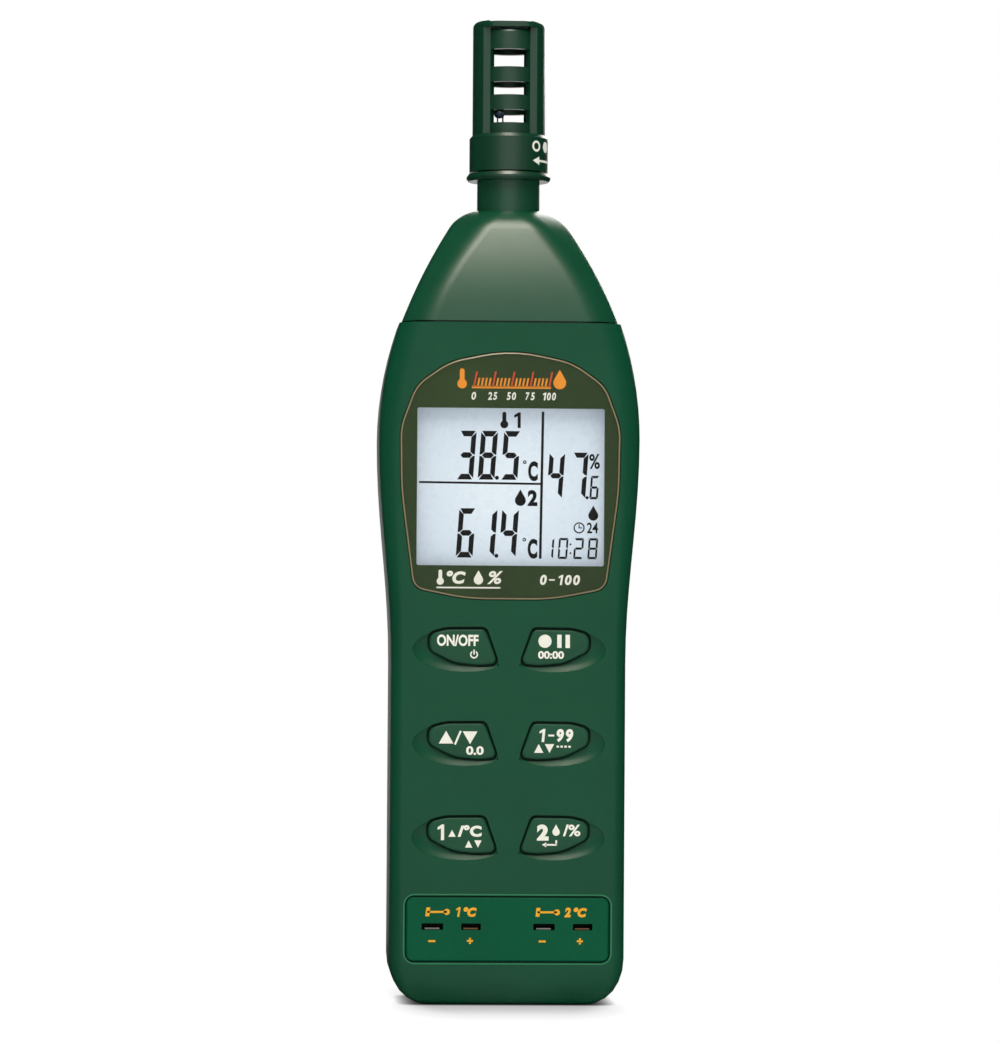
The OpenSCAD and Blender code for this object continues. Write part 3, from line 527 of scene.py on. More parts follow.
def figures_row(target, text, box, y, bold, lean):
    """Figures and dashes in equal cells of a box."""
    x0, z0, x1, z1 = box
    gap = 0.14 * (z1 - z0)
    step = (x1 - x0 + gap) / len(text)
    for i, figure in enumerate(text):
        left, right = x0 + step * i, x0 + step * (i + 1) - gap
        if figure == "1":
            one(target, (left, z0, right, z1), y, lean)
        elif figure == "-":
            middle = (z0 + z1) / 2
            stroke(target, (left + 0.1 * step, middle), (right - 0.05 * step, middle), gap, y)
        else:
            letters(target, figure, (left, z0, right, z1), y, bold, lean)


SEGMENTS = {
    "0": "abcdef", "1": "bc", "2": "abged", "3": "abgcd", "4": "fgbc",
    "5": "afgcd", "6": "afgedc", "7": "abc", "8": "abcdefg",
}
SEGMENT_LEAN = 0.07


def digit(target, figure, x, z, w, h, thick, y):
    """One seven-segment figure with mitred segments."""
    gap = 0.1 * thick
    flat = 1.15 * thick
    m = h / 2
    bevel = 0.45 * thick
    shapes = {
        "a": [(thick * 0.9, h - flat), (w - thick * 0.9, h - flat), (w - gap * 2, h), (gap * 2, h)],
        "d": [(gap * 2, 0), (w - gap * 2, 0), (w - thick * 0.9, flat), (thick * 0.9, flat)],
        "g": [(thick * 0.5, m), (thick, m - flat / 2), (w - thick, m - flat / 2), (w - thick * 0.5, m),
              (w - thick, m + flat / 2), (thick, m + flat / 2)],
        "f": [(0, m + gap), (bevel, m + gap * 2), (thick, m + flat * 0.65), (thick, h - flat * 1.15),
              (0, h - gap * 3)],
        "e": [(0, gap * 3), (thick, flat * 1.15), (thick, m - flat * 0.65), (bevel, m - gap * 2),
              (0, m - gap)],
    }
    for right, left in (("b", "f"), ("c", "e")):
        shapes[right] = [(w - px, pz) for px, pz in shapes[left]][::-1]
    for name in SEGMENTS[figure]:
        prism(target, [(x + px + SEGMENT_LEAN * pz, z + pz) for px, pz in shapes[name]], y)


def reading(target, text, starts, z, w, h, thick, y):
    """Seven-segment figures with given left edges and foot, all w wide and h high."""
    for figure, x in zip(text, starts):
        digit(target, figure, x, z, w, h, thick, y)


def drop(target, x, z, h, y):
    """A water drop that stands on (x, z)."""
    r = 0.33 * h
    round_part = circle(x, z + r, r, 18, 155, 385)
    prism(target, [(x, z + h)] + round_part, y)


def thermometer(target, x, z, h, y):
    """A thermometer that stands on (x, z)."""
    r = 0.24 * h
    bulb = circle(x, z + r, r, 20, 120, 420)
    top = circle(x, z + h - r / 2, r / 2, 10, 0, 180)
    prism(target, bulb + top, y)


def triangle(target, x, z, w, h, y, down=False):
    if down:
        prism(target, [(x + w / 2, z), (x + w, z + h), (x, z + h)], y)
    else:
        prism(target, [(x, z), (x + w, z), (x + w / 2, z + h)], y)


# Nose: the moulding's own solid, dressed with slanting flanks beside its flat front

SEAM_Z = span("front_case")[1].z
SEAM_GAP = 0.35
SHOULDER_Z = SEAM_Z + 24.4
SHOULDER_W, SHOULDER_T, SHOULDER_R = 19.6, 19.0, 9.5
NOSE_W, NOSE_STEP, NOSE_BOW = 44.8, 0.3, 0.9
NOSE_SKIN, NOSE_LINER = 0.03, 1.3
NECK_R, NECK_BORE_R, NECK_SIDES = 6.5, 5.1, 96
# Half width of the flat front at the seam, and how it narrows upwards
FLAT_HALF, FLAT_TAPER, FLAT_CURVE, FLAT_LEAST = 15.4, 0.334, 0.0124, 0.6
# Angle of the flanks, radii of the bends before and behind them, and size of the rear corners
FLANK_ANGLE, BEND_R, SIDE_R = 40, 7.0, 3.0
REAR_SHARE = 0.42
BEND_STEPS, SIDE_STEPS, REAR_STEPS = 6, 5, 8
FLANK_LEVELS, SHOULDER_LEVELS, HOLLOW_LEVELS = 14, 12, 24
# Size of the part that reaches down into the case, as a share of the seam's outline
TONGUE_SHARE, TONGUE_H = 0.93, 1.2


def nose_half(z, low, high):
    """Half size of the nose at a height, from its size at the seam to the corner at the shoulder."""
    height = SHOULDER_Z - SEAM_Z
    t = (z - SEAM_Z) / height
    flank = low + (high - low) * t + 4 * NOSE_BOW * t * (1 - t)
    lean = math.atan((low - high + 4 * NOSE_BOW) / height)
    arc_x = high - SHOULDER_R * (1 - math.sin(lean)) / math.cos(lean)
    arc_z = SHOULDER_Z - SHOULDER_R
    if z <= arc_z + SHOULDER_R * math.sin(lean):
        return flank
    return min(flank, arc_x + math.sqrt(max(0, SHOULDER_R ** 2 - (z - arc_z) ** 2)))


def nose_ring(z, sink=0):
    """Outline of the nose at a height, or of its hollow: flat front, bend, flank, side, rear corner."""
    # A hollow takes its size from a little higher up, so that the wall keeps its thickness on the slope
    at = min(z + 0.7 * sink, SHOULDER_Z - 0.02)
    w = nose_half(at, NOSE_W / 2, SHOULDER_W / 2) - NOSE_SKIN - sink
    d = nose_half(at, -FRONT - NOSE_STEP, SHOULDER_T / 2) - NOSE_SKIN - sink
    up = z - SEAM_Z
    lean = math.radians(FLANK_ANGLE)
    flat = max(FLAT_LEAST, FLAT_HALF - FLAT_TAPER * up - FLAT_CURVE * up ** 2 - sink * math.tan(lean / 2))
    bend, side = (r * min(1, (w - flat) / BEND_R) for r in (BEND_R - sink, SIDE_R - sink))
    run = w - flat - bend * math.sin(lean) - side * (1 - math.sin(lean))
    # The first two points keep the shading of the flat front plain
    points = [(0.5 * flat, -d), (flat - 0.3, -d), (flat, -d)]
    for i in range(1, BEND_STEPS + 1):
        a = lean * i / BEND_STEPS
        points.append((flat + bend * math.sin(a), -d + bend * (1 - math.cos(a))))
    x, y = points[-1]
    x, y = x + run, y + run * math.tan(lean)
    points.append((x, y))
    for i in range(1, SIDE_STEPS + 1):
        a = lean + (math.pi / 2 - lean) * i / SIDE_STEPS
        points.append((x + side * (math.sin(a) - math.sin(lean)), y + side * (math.cos(lean) - math.cos(a))))
    corner = REAR_SHARE * min(w, d)
    for i in range(REAR_STEPS + 1):
        a = math.pi / 2 * i / REAR_STEPS
        points.append((w - corner + corner * math.cos(a), d - corner + corner * math.sin(a)))
    return at_height(points + [(-x, y) for x, y in reversed(points)], z)


def boolean(base, other, operation):
    """Cuts, joins or trims one edit mesh with another, both in millimetres."""
    pair = []
    for edit in (base, other):
        bmesh.ops.recalc_face_normals(edit, faces=edit.faces)
        mesh = bpy.data.meshes.new("step")
        edit.to_mesh(mesh)
        edit.free()
        thing = bpy.data.objects.new("step", mesh)
        scene.collection.objects.link(thing)
        pair.append(thing)
    step = pair[0].modifiers.new("step", "BOOLEAN")
    step.operation = operation
    step.solver = "EXACT"
    step.use_self = operation == "DIFFERENCE"
    step.object = pair[1]
    shown = pair[0].evaluated_get(bpy.context.evaluated_depsgraph_get())
    result = bmesh.new()
    result.from_mesh(shown.to_mesh())
    shown.to_mesh_clear()
    for thing in pair:
        bpy.data.objects.remove(thing)
    return result


def carried_copy(node):
    """A copy of a node's solid as an edit mesh in millimetres."""
    copied = bmesh.new()
    copied.from_mesh(nodes[node].data)
    bmesh.ops.remove_doubles(copied, verts=copied.verts, dist=WELD * MM)
    bmesh.ops.scale(copied, vec=(1 / MM, 1 / MM, 1 / MM), verts=copied.verts)
    return copied


def rod(r, low, high):
    """A round rod on the Z axis."""
    made = bmesh.new()
    add_solid(made, [at_height(circle(0, 0, r, NECK_SIDES), z) for z in (low, high)])
    return made


def nose_shell():
    """The node's solid, trimmed to the flanks, with a liner where they come near its hollow."""
    foot_z, arc_z = SEAM_Z + SEAM_GAP, SHOULDER_Z - SHOULDER_R
    levels = [foot_z + (arc_z - foot_z) * i / FLANK_LEVELS for i in range(FLANK_LEVELS + 1)]
    for i in range(1, SHOULDER_LEVELS):
        levels.append(arc_z + SHOULDER_R * math.sin(math.radians(90 * i / SHOULDER_LEVELS)))
    skin, below, liner, hollow = (bmesh.new() for i in range(4))
    add_solid(skin, [nose_ring(z) for z in levels])
    bottom, top = span("nose_cover")[0].z - 1, span("nose_cover")[1].z + 1
    trim = boolean(skin, rod(NECK_R + 0.1, levels[-1] - 4, top), "UNION")
    foot = nose_ring(foot_z)
    tongue = ((bottom, 1), (SEAM_Z - 0.01, 1), (SEAM_Z, TONGUE_SHARE), (SEAM_Z + TONGUE_H, TONGUE_SHARE))
    add_solid(below, [at_height([(share * x, share * y) for x, y, _ in foot], z) for z, share in tongue])
    trim = boolean(trim, below, "UNION")
    kept = boolean(carried_copy("nose_cover"), trim, "INTERSECT")
    # The liner ends below the shoulder's top, just inside the skin
    add_solid(liner, [nose_ring(z, 0.02) for z in levels[:-3]])
    low, high = levels[0] - 1, SHOULDER_Z - NOSE_LINER - 0.6
    inside = [low + (high - low) * i / HOLLOW_LEVELS for i in range(HOLLOW_LEVELS + 1)]
    add_solid(hollow, [nose_ring(z, NOSE_LINER) for z in inside])
    liner = boolean(liner, hollow, "DIFFERENCE")
    liner = boolean(liner, rod(NECK_BORE_R, levels[4], top), "DIFFERENCE")
    return boolean(kept, liner, "UNION")


nose = finished("nose_shell", nose_shell(), "case", nose_green, True)
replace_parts(nose, "nose_cover")


# Key mat: a sheet and six domes, one under each key

MAT_T = 0.8
# Radius of the room inside a dome, where its contact pill reaches down into the sheet's opening
DOME_ROOM_R = 2.2
# How far a dome may reach above and below its key
DOME_MARGIN = 2
mat_low, mat_high = span("keypad_mat")
sheet_y = mat_high.y - MAT_T


def slab(y0, y1):
    """A wide slab between two depths, to split a solid with."""
    made = bmesh.new()
    add_solid(made, [at_depth(((-99, -9), (99, -9), (99, 299), (-99, 299)), y) for y in (y0, y1)])
    return made


def dome_rooms(centres, y0):
    made = bmesh.new()
    for cx, cz in centres:
        add_solid(made, [at_depth(circle(cx, cz, DOME_ROOM_R, 48), y) for y in (y0, mat_high.y + 1)])
    return made


sheet = boolean(carried_copy("keypad_mat"), slab(sheet_y, mat_high.y + 1), "INTERSECT")
crowns = [v.co / MM for v in nodes["keypad_mat"].data.vertices if v.co.y / MM < mat_low.y + 0.01]
centres = []
pieces = []
for node in KEYS:
    low, high = span(node)
    crown = [v for v in crowns if low.x < v.x < high.x and low.z < v.z < high.z]
    centre = tuple((min(v[i] for v in crown) + max(v[i] for v in crown)) / 2 for i in (0, 2))
    centres.append(centre)
    whole_dome = boolean(slab(mat_low.y - 1, sheet_y), dome_rooms([centre], sheet_y - 0.5), "UNION")
    dome = boolean(carried_copy("keypad_mat"), whole_dome, "INTERSECT")
    others = [v for v in dome.verts if not (low.x < v.co.x < high.x
                                            and low.z - DOME_MARGIN < v.co.z < high.z + DOME_MARGIN)]
    bmesh.ops.delete(dome, geom=others, context="VERTS")
    piece = finished(node + "_dome", dome, "case", silicone, True)
    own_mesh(piece)
    pieces.append(piece)
sheet = boolean(sheet, dome_rooms(centres, sheet_y - 1), "DIFFERENCE")
pieces.append(finished("mat_sheet", sheet, "case", silicone, True))
for piece in pieces:
    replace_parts(piece, "keypad_mat")


# Display figures, placed like all marks in millimetres of the part's X and Z, on the plane Y
lcd_ink = bmesh.new()
Y = span("lcd_panel")[0].y
stroke(lcd_ink, (6.35, 91.2), (6.75, 121.4), 0.53, Y)
stroke(lcd_ink, (-18.6, 106.75), (6.3, 106.55), 0.42, Y)
reading(lcd_ink, "385", (-11.0, -6.6, -1.9), 107.35, 3.45, 10.0, 1.0, Y)
reading(lcd_ink, "614", (-11.0, -6.6, -2.2), 91.35, 3.45, 10.1, 1.0, Y)
for z in (107.4, 91.4):
    prism(lcd_ink, circle(-2.65, z + 0.35, 0.42, 12), Y)
for z in (107.1, 91.2):
    letters(lcd_ink, "C", (3.75, z, 5.75, z + 4.1), Y, 0.05)
    hoop(lcd_ink, circle(3.05, z + 3.9, 0.38, 14), circle(3.05, z + 3.9, 0.16, 14), Y)
thermometer(lcd_ink, -1.2, 117.9, 3.4, Y)
one(lcd_ink, (0.9, 118.0, 2.3, 121.2), Y)
drop(lcd_ink, 2.2, 102.0, 3.4, Y)
letters(lcd_ink, "2", (3.7, 102.0, 5.7, 105.3), Y, 0.05)
reading(lcd_ink, "47", (7.5, 12.3), 103.45, 3.2, 9.6, 0.92, Y)
prism(lcd_ink, circle(15.9, 103.8, 0.34, 12), Y)
reading(lcd_ink, "6", (16.35,), 103.5, 1.75, 4.8, 0.42, Y)
letters(lcd_ink, "%", (16.3, 109.7, 18.5, 112.8), Y, 0.02)
drop(lcd_ink, 17.2, 99.1, 3.1, Y)
hoop(lcd_ink, circle(14.3, 97.6, 1.15, 24), circle(14.3, 97.6, 0.88, 24), Y)
stroke(lcd_ink, (14.3, 97.55), (14.3, 98.35), 0.22, Y)
stroke(lcd_ink, (14.2, 97.6), (14.95, 97.6), 0.22, Y)
letters(lcd_ink, "24", (15.9, 96.5, 18.2, 98.7), Y, 0.02)
reading(lcd_ink, "1028", (7.0, 9.9, 13.1, 16.0), 91.2, 1.95, 4.3, 0.4, Y)
for z in (92.4, 94.2):
    prism(lcd_ink, circle(12.55, z, 0.2, 10), Y)
finished("display_figures", lcd_ink, "case", ink_black)


# Lens: a printed border behind a clear pane

def outline_of(node):
    """Outline of a flat node's front face, counter-clockwise seen from the front."""
    verts = nodes[node].data.vertices
    front = min(v.co.y for v in verts) + 0.01 * MM
    points = {(round(v.co.x / MM, 4), round(v.co.z / MM, 4)) for v in verts if v.co.y < front}
    cx, cz = (sum(p[i] for p in points) / len(points) for i in (0, 1))
    return sorted(points, key=lambda p: math.atan2(p[1] - cz, p[0] - cx))


def inset(points, by):
    """Moves a convex outline inwards."""
    count = len(points)
    moved = []
    for i in range(count):
        before, at, after = (Vector(points[(i + k) % count]) for k in (-1, 0, 1))
        first = (at - before).normalized()
        second = (after - at).normalized()
        middle = (first + second).normalized()
        inward = Vector((-middle.y, middle.x))
        moved.append(tuple(at + inward * by / max(0.5, middle.dot(first))))
    return moved


def rounded_box(x0, z0, x1, z1, r, n=5):
    """Outline of a box whose corners have n steps."""
    corners = [(x1 - r, z0 + r, -90), (x1 - r, z1 - r, 0), (x0 + r, z1 - r, 90), (x0 + r, z0 + r, 180)]
    return [p for cx, cz, a in corners for p in circle(cx, cz, r, n, a, a + 90)]


def holed_face(target, outer, hole, facing):
    """A flat face between two rings of vertices, towards +Y or -Y."""
    rings = [[v.co.xz.to_3d() for v in ring] for ring in (outer, hole)]
    corners = outer + hole
    for tri in tessellate_polygon(rings):
        face = target.faces.new([corners[i] for i in tri])
        face.normal_update()
        if face.normal.y * facing < 0:
            face.normal_flip()


LENS_T = span("display_lens")[1].y - FRONT
# Width of the rim, and depths at which it starts and ends at the pane
EDGE_IN = 0.3
RIM_DROP, LIP_DROP = 0.18, 0.02
# Depth of the printed border, gap in front of it, and gap and bevel round the pane
PANE_T = 0.35
PANE_SEAT, PANE_GAP = 0.03, 0.01
PANE_BEVEL_W, PANE_BEVEL_T = 0.11, 0.1
WINDOW, WINDOW_R = (-19.1, 89.7, 19.3, 121.95), 0.4
lens = outline_of("display_lens")
lens_inner = inset(lens, EDGE_IN)
window = rounded_box(*WINDOW, WINDOW_R)


def lens_border():
    """The lens without its pane, open at the window. Material 0 is the border and 1 the rim, whose pale tan
    is a painted highlight.
    """
    made = bmesh.new()
    depths = ((lens, LENS_T), (lens, RIM_DROP), (lens_inner, LIP_DROP), (lens_inner, PANE_T),
              (window, PANE_T), (window, LENS_T))
    rings = [[made.verts.new(p) for p in at_depth(points, FRONT + depth)] for points, depth in depths]
    back, rim, lip, floor_outer, floor_hole, back_hole = rings
    walls = ((rim, back, 0), (lip, rim, 1), (floor_outer, lip, 1), (floor_hole, back_hole, 0))
    for first, second, slot in walls:
        for i in range(len(first)):
            j = (i + 1) % len(first)
            made.faces.new((first[i], second[i], second[j], first[j])).material_index = slot
    holed_face(made, floor_outer, floor_hole, -1)
    holed_face(made, back, back_hole, 1)
    bmesh.ops.recalc_face_normals(made, faces=made.faces)
    return made


pane = bmesh.new()
pane_edge, pane_face = (inset(lens, EDGE_IN + PANE_GAP + by) for by in (0, PANE_BEVEL_W))
add_solid(pane, [at_depth(pane_edge, FRONT + PANE_T - PANE_SEAT), at_depth(pane_edge, FRONT + PANE_BEVEL_T),
                 at_depth(pane_face, FRONT)])
lens_pieces = [finished("lens_print", lens_border(), "case", [olive, tan]),
               finished("lens_pane", pane, "case", pane_clear)]
for piece in lens_pieces:
    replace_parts(piece, "display_lens")


# Marks printed on the lens border: a scale whose every fifth line is a taller step
Y = FRONT + PANE_T
scale_ink = bmesh.new()
step_ink = bmesh.new()
SCALE_LEFT, SCALE_RIGHT, SCALE_LOW = -7.6, 7.8, 126.2
TICKS = 20
STEP_TALL, TICK_TALL, TICK_HALF = 3.2, 1.9, 0.18
thermometer(scale_ink, -10.0, 125.9, 4.1, Y)
drop(scale_ink, 10.0, 125.9, 4.0, Y)
for i in range(TICKS + 1):
    x = SCALE_LEFT + (SCALE_RIGHT - SCALE_LEFT) * i / TICKS
    ink, tall = (scale_ink, TICK_TALL) if i % 5 else (step_ink, STEP_TALL)
    bar(ink, x - TICK_HALF, SCALE_LOW, x + TICK_HALF, SCALE_LOW + tall, Y, 0.2 * tall)
stroke(scale_ink, (SCALE_LEFT - 0.4, SCALE_LOW), (SCALE_RIGHT + 0.4, SCALE_LOW), 0.5, Y)
finished("lens_scale", scale_ink, "case", ink_orange)
finished("lens_scale_steps", step_ink, "case", ink_red)

lens_ink = bmesh.new()
for i, figures in enumerate(("0", "25", "50", "75", "100")):
    x = SCALE_LEFT + (SCALE_RIGHT - SCALE_LEFT) * i / 4
    half = 0.48 * len(figures)
    figures_row(lens_ink, figures, (x - half, 123.6, x + half, 125.2), Y, 0.03, 0.15)
thermometer(lens_ink, -14.2, 85.7, 3.1, Y)
letters(lens_ink, "°C", (-12.9, 85.9, -9.0, 88.6), Y, 0.05, 0.2)
drop(lens_ink, -6.4, 85.8, 2.9, Y)
letters(lens_ink, "%", (-4.6, 85.9, -1.4, 88.6), Y, 0.025, 0.2)
bar(lens_ink, -15.0, 85.0, -1.9, 85.3, Y)
figures_row(lens_ink, "0-100", (6.2, 85.8, 14.4, 87.9), Y, 0.04, 0.15)
finished("lens_marks", lens_ink, "case", ink_white)


# Marks printed on the keys

def marks_power(ink, y):
    letters(ink, "ON/OFF", (-14.8, 73.2, -6.3, 75.55), y, 0.035)
    arc_band(ink, -7.2, 71.5, 0.68, 0.28, 125, 415, y)
    bar(ink, -7.34, 71.5, -7.06, 72.5, y)


def marks_hold(ink, y):
    prism(ink, circle(7.3, 74.3, 1.35, 28), y)
    bar(ink, 9.8, 72.95, 10.7, 75.65, y)
    bar(ink, 11.5, 72.95, 12.4, 75.65, y)
    letters(ink, "00:00", (5.9, 70.7, 11.2, 72.3), y, 0.035)


def marks_max_min(ink, y):
    triangle(ink, -14.3, 53.3, 3.0, 2.6, y)
    stroke(ink, (-11.0, 53.1), (-9.8, 55.9), 0.4, y)
    triangle(ink, -9.4, 53.2, 3.0, 2.6, y, True)
    letters(ink, "0.0", (-8.7, 51.0, -5.1, 52.8), y, 0.04)


def marks_memory(ink, y):
    figures_row(ink, "1-99", (6.0, 53.7, 13.2, 56.4), y, 0.05, 0.1)
    triangle(ink, 5.2, 51.5, 1.9, 1.8, y)
    triangle(ink, 7.4, 51.5, 1.9, 1.8, y, True)
    for i in range(4):
        bar(ink, 9.8 + 0.8 * i, 52.6, 10.3 + 0.8 * i, 53.0, y)


def marks_input_1(ink, y):
    one(ink, (-14.4, 33.6, -12.9, 36.8), y)
    triangle(ink, -12.2, 34.3, 1.5, 1.4, y)
    letters(ink, "/°C", (-10.3, 34.3, -5.4, 36.7), y, 0.05)
    triangle(ink, -8.8, 32.1, 1.5, 1.5, y)
    triangle(ink, -6.9, 32.1, 1.5, 1.5, y, True)


def marks_input_2(ink, y):
    letters(ink, "2", (5.9, 33.6, 8.3, 36.9), y, 0.06)
    drop(ink, 9.8, 34.6, 2.3, y)
    letters(ink, "/%", (11.2, 34.5, 14.8, 36.9), y, 0.025)
    stroke(ink, (7.6, 32.75), (10.0, 32.75), 0.35, y)
    stroke(ink, (9.85, 32.75), (9.85, 33.7), 0.35, y)
    prism(ink, [(6.9, 32.75), (7.8, 32.25), (7.8, 33.25)], y)


KEY_MARKS = {"key_power": marks_power, "key_hold": marks_hold, "key_max_min": marks_max_min,
             "key_memory": marks_memory, "key_input_1": marks_input_1, "key_input_2": marks_input_2}
for node, draw in KEY_MARKS.items():
    ink = bmesh.new()
    draw(ink, span(node)[0].y)
    finished(node + "_marks", ink, node + "_body", ink_white)


# Marks printed on the input panel
panel_ink = bmesh.new()
Y = span("input_panel")[0].y
for figure, x in (("1", -11.5), ("2", 11.0)):
    stroke(panel_ink, (x - 4.9, 19.0), (x - 0.9, 19.0), 0.42, Y)
    prism(panel_ink, circle(x - 0.9, 19.0, 0.62, 18), Y)
    bar(panel_ink, x - 5.3, 18.1, x - 4.5, 19.9, Y, 0.2)
    figures_row(panel_ink, figure, (x + 0.6, 18.0, x + 1.9, 20.0), Y, 0.06, 0.15)
    letters(panel_ink, "°C", (x + 2.5, 18.0, x + 5.2, 20.0), Y, 0.07, 0.2)
for x in (-15.45, 7.1):
    bar(panel_ink, x - 0.72, 12.85, x + 0.72, 13.25, Y)
for x in (-7.65, 14.8):
    bar(panel_ink, x - 0.62, 12.92, x + 0.62, 13.32, Y)
    bar(panel_ink, x - 0.2, 12.5, x + 0.2, 12.95, Y)
    bar(panel_ink, x - 0.2, 13.29, x + 0.2, 13.74, Y)
finished("panel_marks", panel_ink, "case", ink_gold)


# Panel: the moulding's own solid with a bevelled rim, in a groove whose outer edge has a painted highlight

PANEL_BEVEL = 0.3
PANEL_R = 1.45
# The groove's corner radius, and how far the ring of painted highlight on its edge lies outside the panel
GROOVE_R = 1.7
HIGHLIGHT_OUT = (0.62, 0.36)
panel_low, panel_high = span("input_panel")


def panel_box(by):
    """The panel's corners, drawn in by a distance."""
    return panel_low.x + by, panel_low.z + by, panel_high.x - by, panel_high.z - by


def panel_ring(y, by):
    return at_depth(rounded_box(*panel_box(by), PANEL_R - by, 12), y)


face_y, bevel_y = panel_low.y, panel_low.y + PANEL_BEVEL
trim = bmesh.new()
add_solid(trim, [panel_ring(face_y - 0.01, PANEL_BEVEL), panel_ring(face_y, PANEL_BEVEL),
                 panel_ring(bevel_y, 0), panel_ring(bevel_y + 0.01, -1), panel_ring(panel_high.y + 1, -1)])
plate = boolean(carried_copy("input_panel"), trim, "INTERSECT")
plate = finished("panel_plate", plate, "case", panel_green, True)
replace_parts(plate, "input_panel")
# A pale ring on the face round the panel: a painted highlight on the groove's outer edge
bevel = bmesh.new()
hoop(bevel, *(rounded_box(*panel_box(-out), GROOVE_R + out) for out in HIGHLIGHT_OUT), FRONT)
finished("panel_painted_highlight", bevel, "case", painted_edge_highlight)


# Marks printed round the cap's collar: drawn flat, cut into narrow strips and wrapped

COLLAR_MID = span("sensor_cap")[0].z + 3.5
WRAP_START, WRAP_STEP, WRAP_CUTS = 3.5, 0.3, 30
DISC_Z, ARROW_Z = COLLAR_MID + 1.6, COLLAR_MID - 1.4
cap_ink = bmesh.new()
hoop(cap_ink, circle(6.0, DISC_Z, 1.15, 24), circle(6.0, DISC_Z, 0.7, 24), 0)
prism(cap_ink, circle(9.4, DISC_Z, 1.15, 24), 0)
prism(cap_ink, [(5.0, ARROW_Z), (6.9, ARROW_Z - 0.9), (6.9, ARROW_Z + 0.9)], 0)
stroke(cap_ink, (6.8, ARROW_Z), (11.0, ARROW_Z), 0.45, 0)
for i in range(1, WRAP_CUTS):
    bmesh.ops.bisect_plane(cap_ink, geom=cap_ink.verts[:] + cap_ink.edges[:] + cap_ink.faces[:],
                           plane_co=(WRAP_START + WRAP_STEP * i, 0, 0), plane_no=(1, 0, 0))
for vert in cap_ink.verts:
    turn = vert.co.x / COLLAR_R
    radius = COLLAR_R + (INK_RISE + 0.005 if vert.co.y < 0 else -0.02)
    vert.co = Vector((radius * math.sin(turn), -radius * math.cos(turn), vert.co.z))
finished("cap_marks", cap_ink, "shutter", ink_white)


# Screws with cross recesses

def islands_of(node):
    """Lowest and highest corners of the separate solids of a node, in millimetres."""
    edit = bmesh.new()
    edit.from_mesh(nodes[node].data)
    bmesh.ops.remove_doubles(edit, verts=edit.verts, dist=WELD * MM)
    left = set(edit.verts)
    boxes = []
    while left:
        heap, group = [left.pop()], []
        while heap:
            vert = heap.pop()
            group.append(vert.co / MM)
            others = {edge.other_vert(vert) for edge in vert.link_edges} & left
            left -= others
            heap.extend(others)
        boxes.append((Vector(map(min, zip(*group))), Vector(map(max, zip(*group)))))
    edit.free()
    return sorted(boxes, key=lambda b: (round(b[0].x, 2), round(b[0].z, 2)))


def cross_screws(node, name, body, head_t, shank):
    """Dresses a node's screws, which lie along Y. The shanks' radius is a share of the heads'."""
    boxes = islands_of(node)
    head_r = (boxes[0][1].x - boxes[0][0].x) / 2
    shank_r = shank * head_r
    tip = span(node)[0].y
    dome = 0.28 * head_t
    whole, cutter = bmesh.new(), bmesh.new()
    for low, high in boxes:
        px, py, pz = (low.x + high.x) / 2, high.y, (low.z + high.z) / 2
        profile = [(0.02, py), (0.55 * head_r, py - 0.12 * dome), (0.85 * head_r, py - 0.5 * dome),
                   (head_r, py - dome), (head_r, py - head_t), (shank_r, py - head_t), (shank_r, tip + 0.6),
                   (0.3 * shank_r, tip)]
        add_solid(whole, [at_depth(circle(px, pz, r, 40), y) for r, y in profile])
        for across, along in ((0.13, 0.62), (0.62, 0.13)):
            loops = []
            for share, y in ((0.6, py - 0.75 * head_t), (1, py + 0.1)):
                w, h = across * head_r * share, along * head_r * share
                slot = [(px - w, pz - h), (px + w, pz - h), (px + w, pz + h), (px - w, pz + h)]
                loops.append(at_depth(slot, y))
            add_solid(cutter, loops)
    cut = boolean(whole, cutter, "DIFFERENCE")
    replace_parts(finished(name, cut, body, steel, True), node)


cross_screws("door_screw", "door_screw_head", "door", 1.2, 0.5)
cross_screws("case_screws", "case_screw_heads", "case", 1.8, 0.52)
cross_screws("board_screws", "board_screw_heads", "case", 1.1, 0.53)


# Light

# Brightness of the even light, of the wall that the object and the floor mirror, and of the dark sides
AMBIENT = 0.46
WALL_IN_OBJECT, WALL_IN_FLOOR = 0.55, 0.6
ROOM_DARK = 0.01


def light(name, place, target, size, power, colour):
    """A rectangular lamp, in metres and watts."""
    data = bpy.data.lights.new(name, "AREA")
    data.shape = "RECTANGLE"
    data.size, data.size_y = size
    data.energy = power
    data.color = colour
    lamp = bpy.data.objects.new(name, data)
    scene.collection.objects.link(lamp)
    lamp.location = Vector(place)
    lamp.rotation_euler = (Vector(target) - Vector(place)).to_track_quat("-Z", "Y").to_euler()


light("key_light", (-0.03, -0.43, 0.96), (0, 0, 0.15), (0.32, 0.83), 8.2, (1, 0.92, 0.8))
light("rear_light", (0.25, 1.0, 0.6), (0, 0, 0.1), (0.6, 0.6), 7, (1, 0.97, 0.93))


def grey(level):
    return (level, level, level)


def either(tree, a, b):
    return math_node(tree, "MAXIMUM", a, b)


def times(tree, a, b):
    return math_node(tree, "MULTIPLY", a, b)


def seen(tree):
    """1 for rays from the camera and through glass, which see a white backdrop."""
    path = tree.nodes.new("ShaderNodeLightPath")
    return either(tree, path.outputs["Is Camera Ray"], path.outputs["Is Transmission Ray"])


def mirrored(tree):
    """1 for rays that a gloss sends out, which see the room."""
    return tree.nodes.new("ShaderNodeLightPath").outputs["Is Glossy Ray"]


